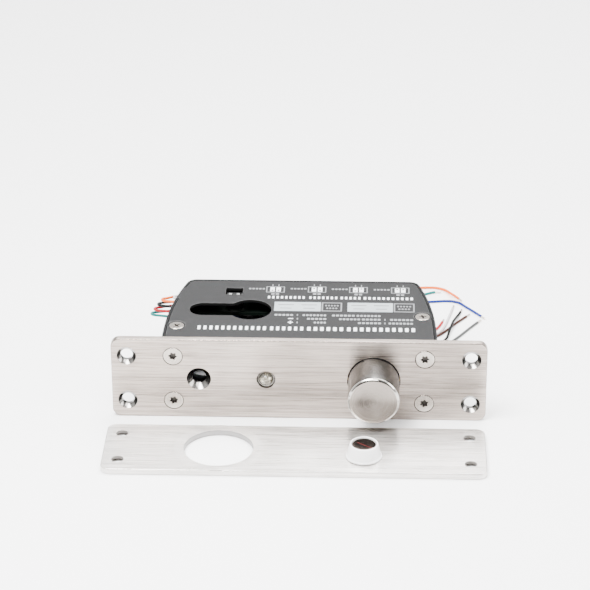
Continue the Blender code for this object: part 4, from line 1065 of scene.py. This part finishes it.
for x0, x1 in ((-41.3, -13.7), (-12.0, 1.3), (2.9, 17.4), (19.0, 46.3)):          # heading
    dashes(x0, x1, 15.7, 3.2, 2.5, 0.52, "ink", 0.3)
for x0, x1 in ((-14.1, 1.1), (3.0, 14.5), (15.9, 24.1), (25.4, 45.7)):            # second heading
    dashes(x0, x1, 43.4, 2.2, 1.85, 0.52, "ink", 0.2)
for y, words in ((27.6, ((12.7, 21.9), (22.7, 32.4), (-10.7, -3.2), (0.7, 10.3))),
                 (24.4, ((15.6, 24.1), (24.9, 32.4), (36.3, 45.6), (2.6, 10.4))),
                 (21.2, ((23.3, 32.6), (35.7, 45.5), (5.4, 10.3)))):
    for x0, x1 in words:
        dashes(x0, x1, y, 1.45, 1.5, 0.72, "ink_grey", 0.25)
for x, y in ((34.2, 24.4), (34.2, 21.2), (-1.4, 27.7), (-1.3, 24.4), (-1.3, 21.1)):
    bar(x - 0.28, x + 0.28, y - 0.75, y + 0.75, "ink_dim", 0.2)
bar(-5.1, -3.0, 24.2, 24.75, "ink", 0.2)
bar(-5.1, -3.0, 20.85, 21.4, "ink", 0.2)
bar(-4.3, -3.8, 19.9, 20.8, "ink", 0.2)
bar(-4.3, -3.8, 21.45, 22.35, "ink", 0.2)
for x0, x1, x2, x3, ymid in ((-11.1, 7.9, 8.3, 16.6, 35.2), (18.9, 37.4, 37.8, 46.3, 35.2)):   # two blank panels
    bar(x0, x1, ymid - 4.0, ymid + 4.0, "ink_panel", 0.15)
    bar(x2, x3, ymid - 3.9, ymid + 3.9, "ink_dim", 0.15, hole=(x2 + 0.55, x3 - 0.55, ymid - 3.35, ymid + 3.35))
    dashes(x2 + 1.4, x3 - 1.4, ymid + 1.15, 1.1, 1.3, 0.66, "ink_dim", 0.2)
    dashes(x2 + 1.9, x3 - 1.9, ymid - 1.2, 1.1, 1.3, 0.66, "ink_dim", 0.2)
    w = (x1 - x0) / 4
    for cx in (x0 + w, x1 - w):
        for dy, half in ((1.6, w * 0.68), (-1.5, w * 0.5)):
            bar(cx - half, cx + half, ymid + dy - 0.4, ymid + dy + 0.4, "ink_dim", 0.2, 0.045)
for k, (x0, x1, y) in enumerate(((-15.1, -7.4, 50.5), (2.2, 9.8, 50.9), (19.3, 27.0, 50.9), (36.7, 44.3, 50.9))):
    cx = (x0 + x1) / 2
    bar(x0, x1, y - 2.7, y + 2.7, "ink_dim", 0.2, hole=(x0 + 0.42, x1 - 0.42, y - 2.28, y + 2.28))
    for q, sx in enumerate((-1, 1)):
        on = (k >> q) & 1
        hy = y + (0.5 if on else -1.3)
        bar(cx + sx * 1.25 - 0.92, cx + sx * 1.25 + 0.92, y - 1.9, y + 2.0, "ink", 0.2, 0.04,
            hole=(cx + sx * 1.25 - 0.4, cx + sx * 1.25 + 0.4, hy, hy + 1.0))
        bar(cx + sx * 1.25 - 0.2, cx + sx * 1.25 + 0.2, y + 2.95, y + 4.7, "ink_dim", 0.1)
    dashes(cx - 1.6, cx + 1.6, y - 4.1, 1.5, 1.7, 0.72, "ink_dim", 0.3)
    dashes(x0 - 7.2, x0 - 0.6, y + 0.5, 1.2, 1.3, 0.66, "ink_dim", 0.2)
ink.done("cover_print", 30, "lock")

# ------------------------------------------------------------------ setting switches
DX, DY = -28.25, 48.5
s = Solid(W)
outer = rounded_rect(6.6, 5.4, 0.25, 4, DX, DY)
rr = [s.ring([(x, y, z) for x, y in inset(outer, d)]) for d, z in ((0, 26.4), (0, 30.45), (0.06, 30.56), (0.18, 30.6))]
for i, (a, b) in enumerate(zip(rr, rr[1:])):
    s.band(a, b, "black", 1.0 if i > 0 else 0.0)
s.cap([rr[0]], "black")
tops = [rr[-1]]
for sx in (-1, 1):
    hole = rounded_rect(1.9, 3.8, 0.12, 3, DX + sx * 1.6, DY)
    hr = [s.ring([(x, y, z) for x, y in hole]) for z in (30.6, 29.4)]
    s.band(hr[0], hr[1], "black", 0, False)
    s.cap([hr[1]], "black")
    tops.append(hr[0])
s.cap(tops, "black")
s.done("dip_switch_moulded", 38, "lock", "dip_switch_body", "black_plastic")
for k, sx in ((1, -1), (2, 1)):
    s = Solid(W)
    cx, cy = DX + sx * 1.6, DY - 0.9
    base = rounded_rect(1.2, 1.3, 0.1, 3, cx, cy)
    rr = [s.ring([(x, y, z) for x, y in inset(base, d)]) for d, z in ((0, 29.7), (0, 31.55), (0.05, 31.66), (0.16, 31.7))]
    for i, (a, b) in enumerate(zip(rr, rr[1:])):
        s.band(a, b, "white", 1.0 if i > 0 else 0.0)
    s.cap([rr[0]], "white")
    s.cap([rr[-1]], "white")
    s.done("dip_slider_%d_moulded" % k, 38, "dip_slider_%d" % k, "dip_slider_%d" % k, "white_plastic")

# ------------------------------------------------------------------ return spring
TURNS = 9
pts = []
for i in range(TURNS * 28 + 1):
    a = 2 * math.pi * i / 28
    f = i / (TURNS * 28)
    pts.append(Vector((30.0 + 5.0 * math.cos(a), 17.8 + f * (56.0 - 17.8), MID_Z + 5.0 * math.sin(a))))
spring = sweep("return_spring_wire", pts, "zinc", lambda s, a: 0.5, 10).done("return_spring_wire", 60, keep=True)
settle(spring, "lock", "return_spring")
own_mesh(spring)

# ------------------------------------------------------------------ the inner parts keep their shape
inner = {"bolt_guide": "brass", "link_plate": "zinc", "link_screw": "zinc", "solenoid_plunger": "zinc", "plunger_clip": "zinc",
         "solenoid_frame": "zinc", "solenoid_coil": "copper", "spring_guide_pin": "zinc", "circuit_board": "board",
         "board_screw_1": "screw", "board_screw_2": "screw", "relay": "blue", "capacitor": "black", "bolt_switch_body": "black",
         "bolt_switch_button": "white", "reed_holder": "black", "reed_switch": "glass"}
for n, m in inner.items():
    o = nodes[n]
    o.data.materials.clear()
    o.data.materials.append(M[m])
    w = o.modifiers.new("weld", "WELD")
    w.merge_threshold = 0.000002
    if n in ("bolt_guide", "link_plate", "solenoid_frame", "circuit_board", "relay", "bolt_switch_body", "reed_holder"):
        b = o.modifiers.new("edges", "BEVEL")
        b.width = 0.00015
        b.segments = 2
        b.limit_method = "ANGLE"
        b.angle_limit = math.radians(50)
        b.use_clamp_overlap = True

# ------------------------------------------------------------------ floor, light
def floor_material():
    g = Graph("pale_floor")
    g.link(g.ramp(g.noise(g.co, 3.0, 3.0), 0.55, 0.62), g.b.inputs["Roughness"])
    g.b.inputs["Base Color"].default_value = (0.97, 0.97, 0.97, 1.0)
    g.b.inputs["Specular IOR Level"].default_value = 0.2
    return g.m


me = bpy.data.meshes.new("floor")
bm = bmesh.new()
prof = [(-1.2, 0.0), (1.1, 0.0)] + [(1.1 + 0.5 * math.sin(math.radians(a)), 0.5 - 0.5 * math.cos(math.radians(a))) for a in range(9, 91, 9)] + [(1.6, 2.2)]
cols = []
for y, z in prof:
    cols.append([bm.verts.new((x, y, z)) for x in (-3.0, 3.0)])
for a, b in zip(cols, cols[1:]):
    f = bm.faces.new((a[0], a[1], b[1], b[0]))
    f.smooth = True
bm.to_mesh(me)
bm.free()
me.materials.append(floor_material())
floor = bpy.data.objects.new("floor", me)
bpy.context.scene.collection.objects.link(floor)
floor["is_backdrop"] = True

world = bpy.data.worlds.new("studio")
world.use_nodes = True
wt = world.node_tree
wc = wt.nodes.new("ShaderNodeTexCoord")
ws = wt.nodes.new("ShaderNodeSeparateXYZ")
wt.links.new(wc.outputs["Generated"], ws.inputs[0])
wr = wt.nodes.new("ShaderNodeMapRange")          # darker room in front, bright behind and above
wr.inputs["From Min"].default_value = -0.60
wr.inputs["From Max"].default_value = 0.10
wr.inputs["To Min"].default_value = 0.06
wr.inputs["To Max"].default_value = 1.0
wr.interpolation_type = "SMOOTHSTEP"
wt.links.new(ws.outputs[1], wr.inputs["Value"])
wt.links.new(wr.outputs["Result"], wt.nodes["Background"].inputs[0])
wt.nodes["Background"].inputs[1].default_value = 3.3
bpy.context.scene.world = world


def area_light(name, loc, target, sx, sy, power, colour=(1, 1, 1)):
    d = bpy.data.lights.new(name, "AREA")
    d.shape = "RECTANGLE"
    d.size, d.size_y = sx, sy
    d.energy = power
    d.color = colour
    o = bpy.data.objects.new(name, d)
    o.location = loc
    o.rotation_mode = "QUATERNION"
    o.rotation_quaternion = (Vector(loc) - Vector(target)).to_track_quat("Z", "Y")
    bpy.context.scene.collection.objects.link(o)
    return o


area_light("key", (-0.30, -0.25, 0.90), (0, 0, 0), 0.5, 0.4, 26.0)
area_light("near", (-0.05, -0.14, 0.30), (0.0, -0.01, 0.03), 0.32, 0.10, 1.6)
area_light("top", (0.25, 0.35, 0.85), (0, 0.02, 0), 0.9, 0.5, 20.0)
area_light("side", (0.9, -0.25, 0.45), (0, 0, 0.02), 0.3, 0.5, 5.5)

lo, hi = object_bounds()
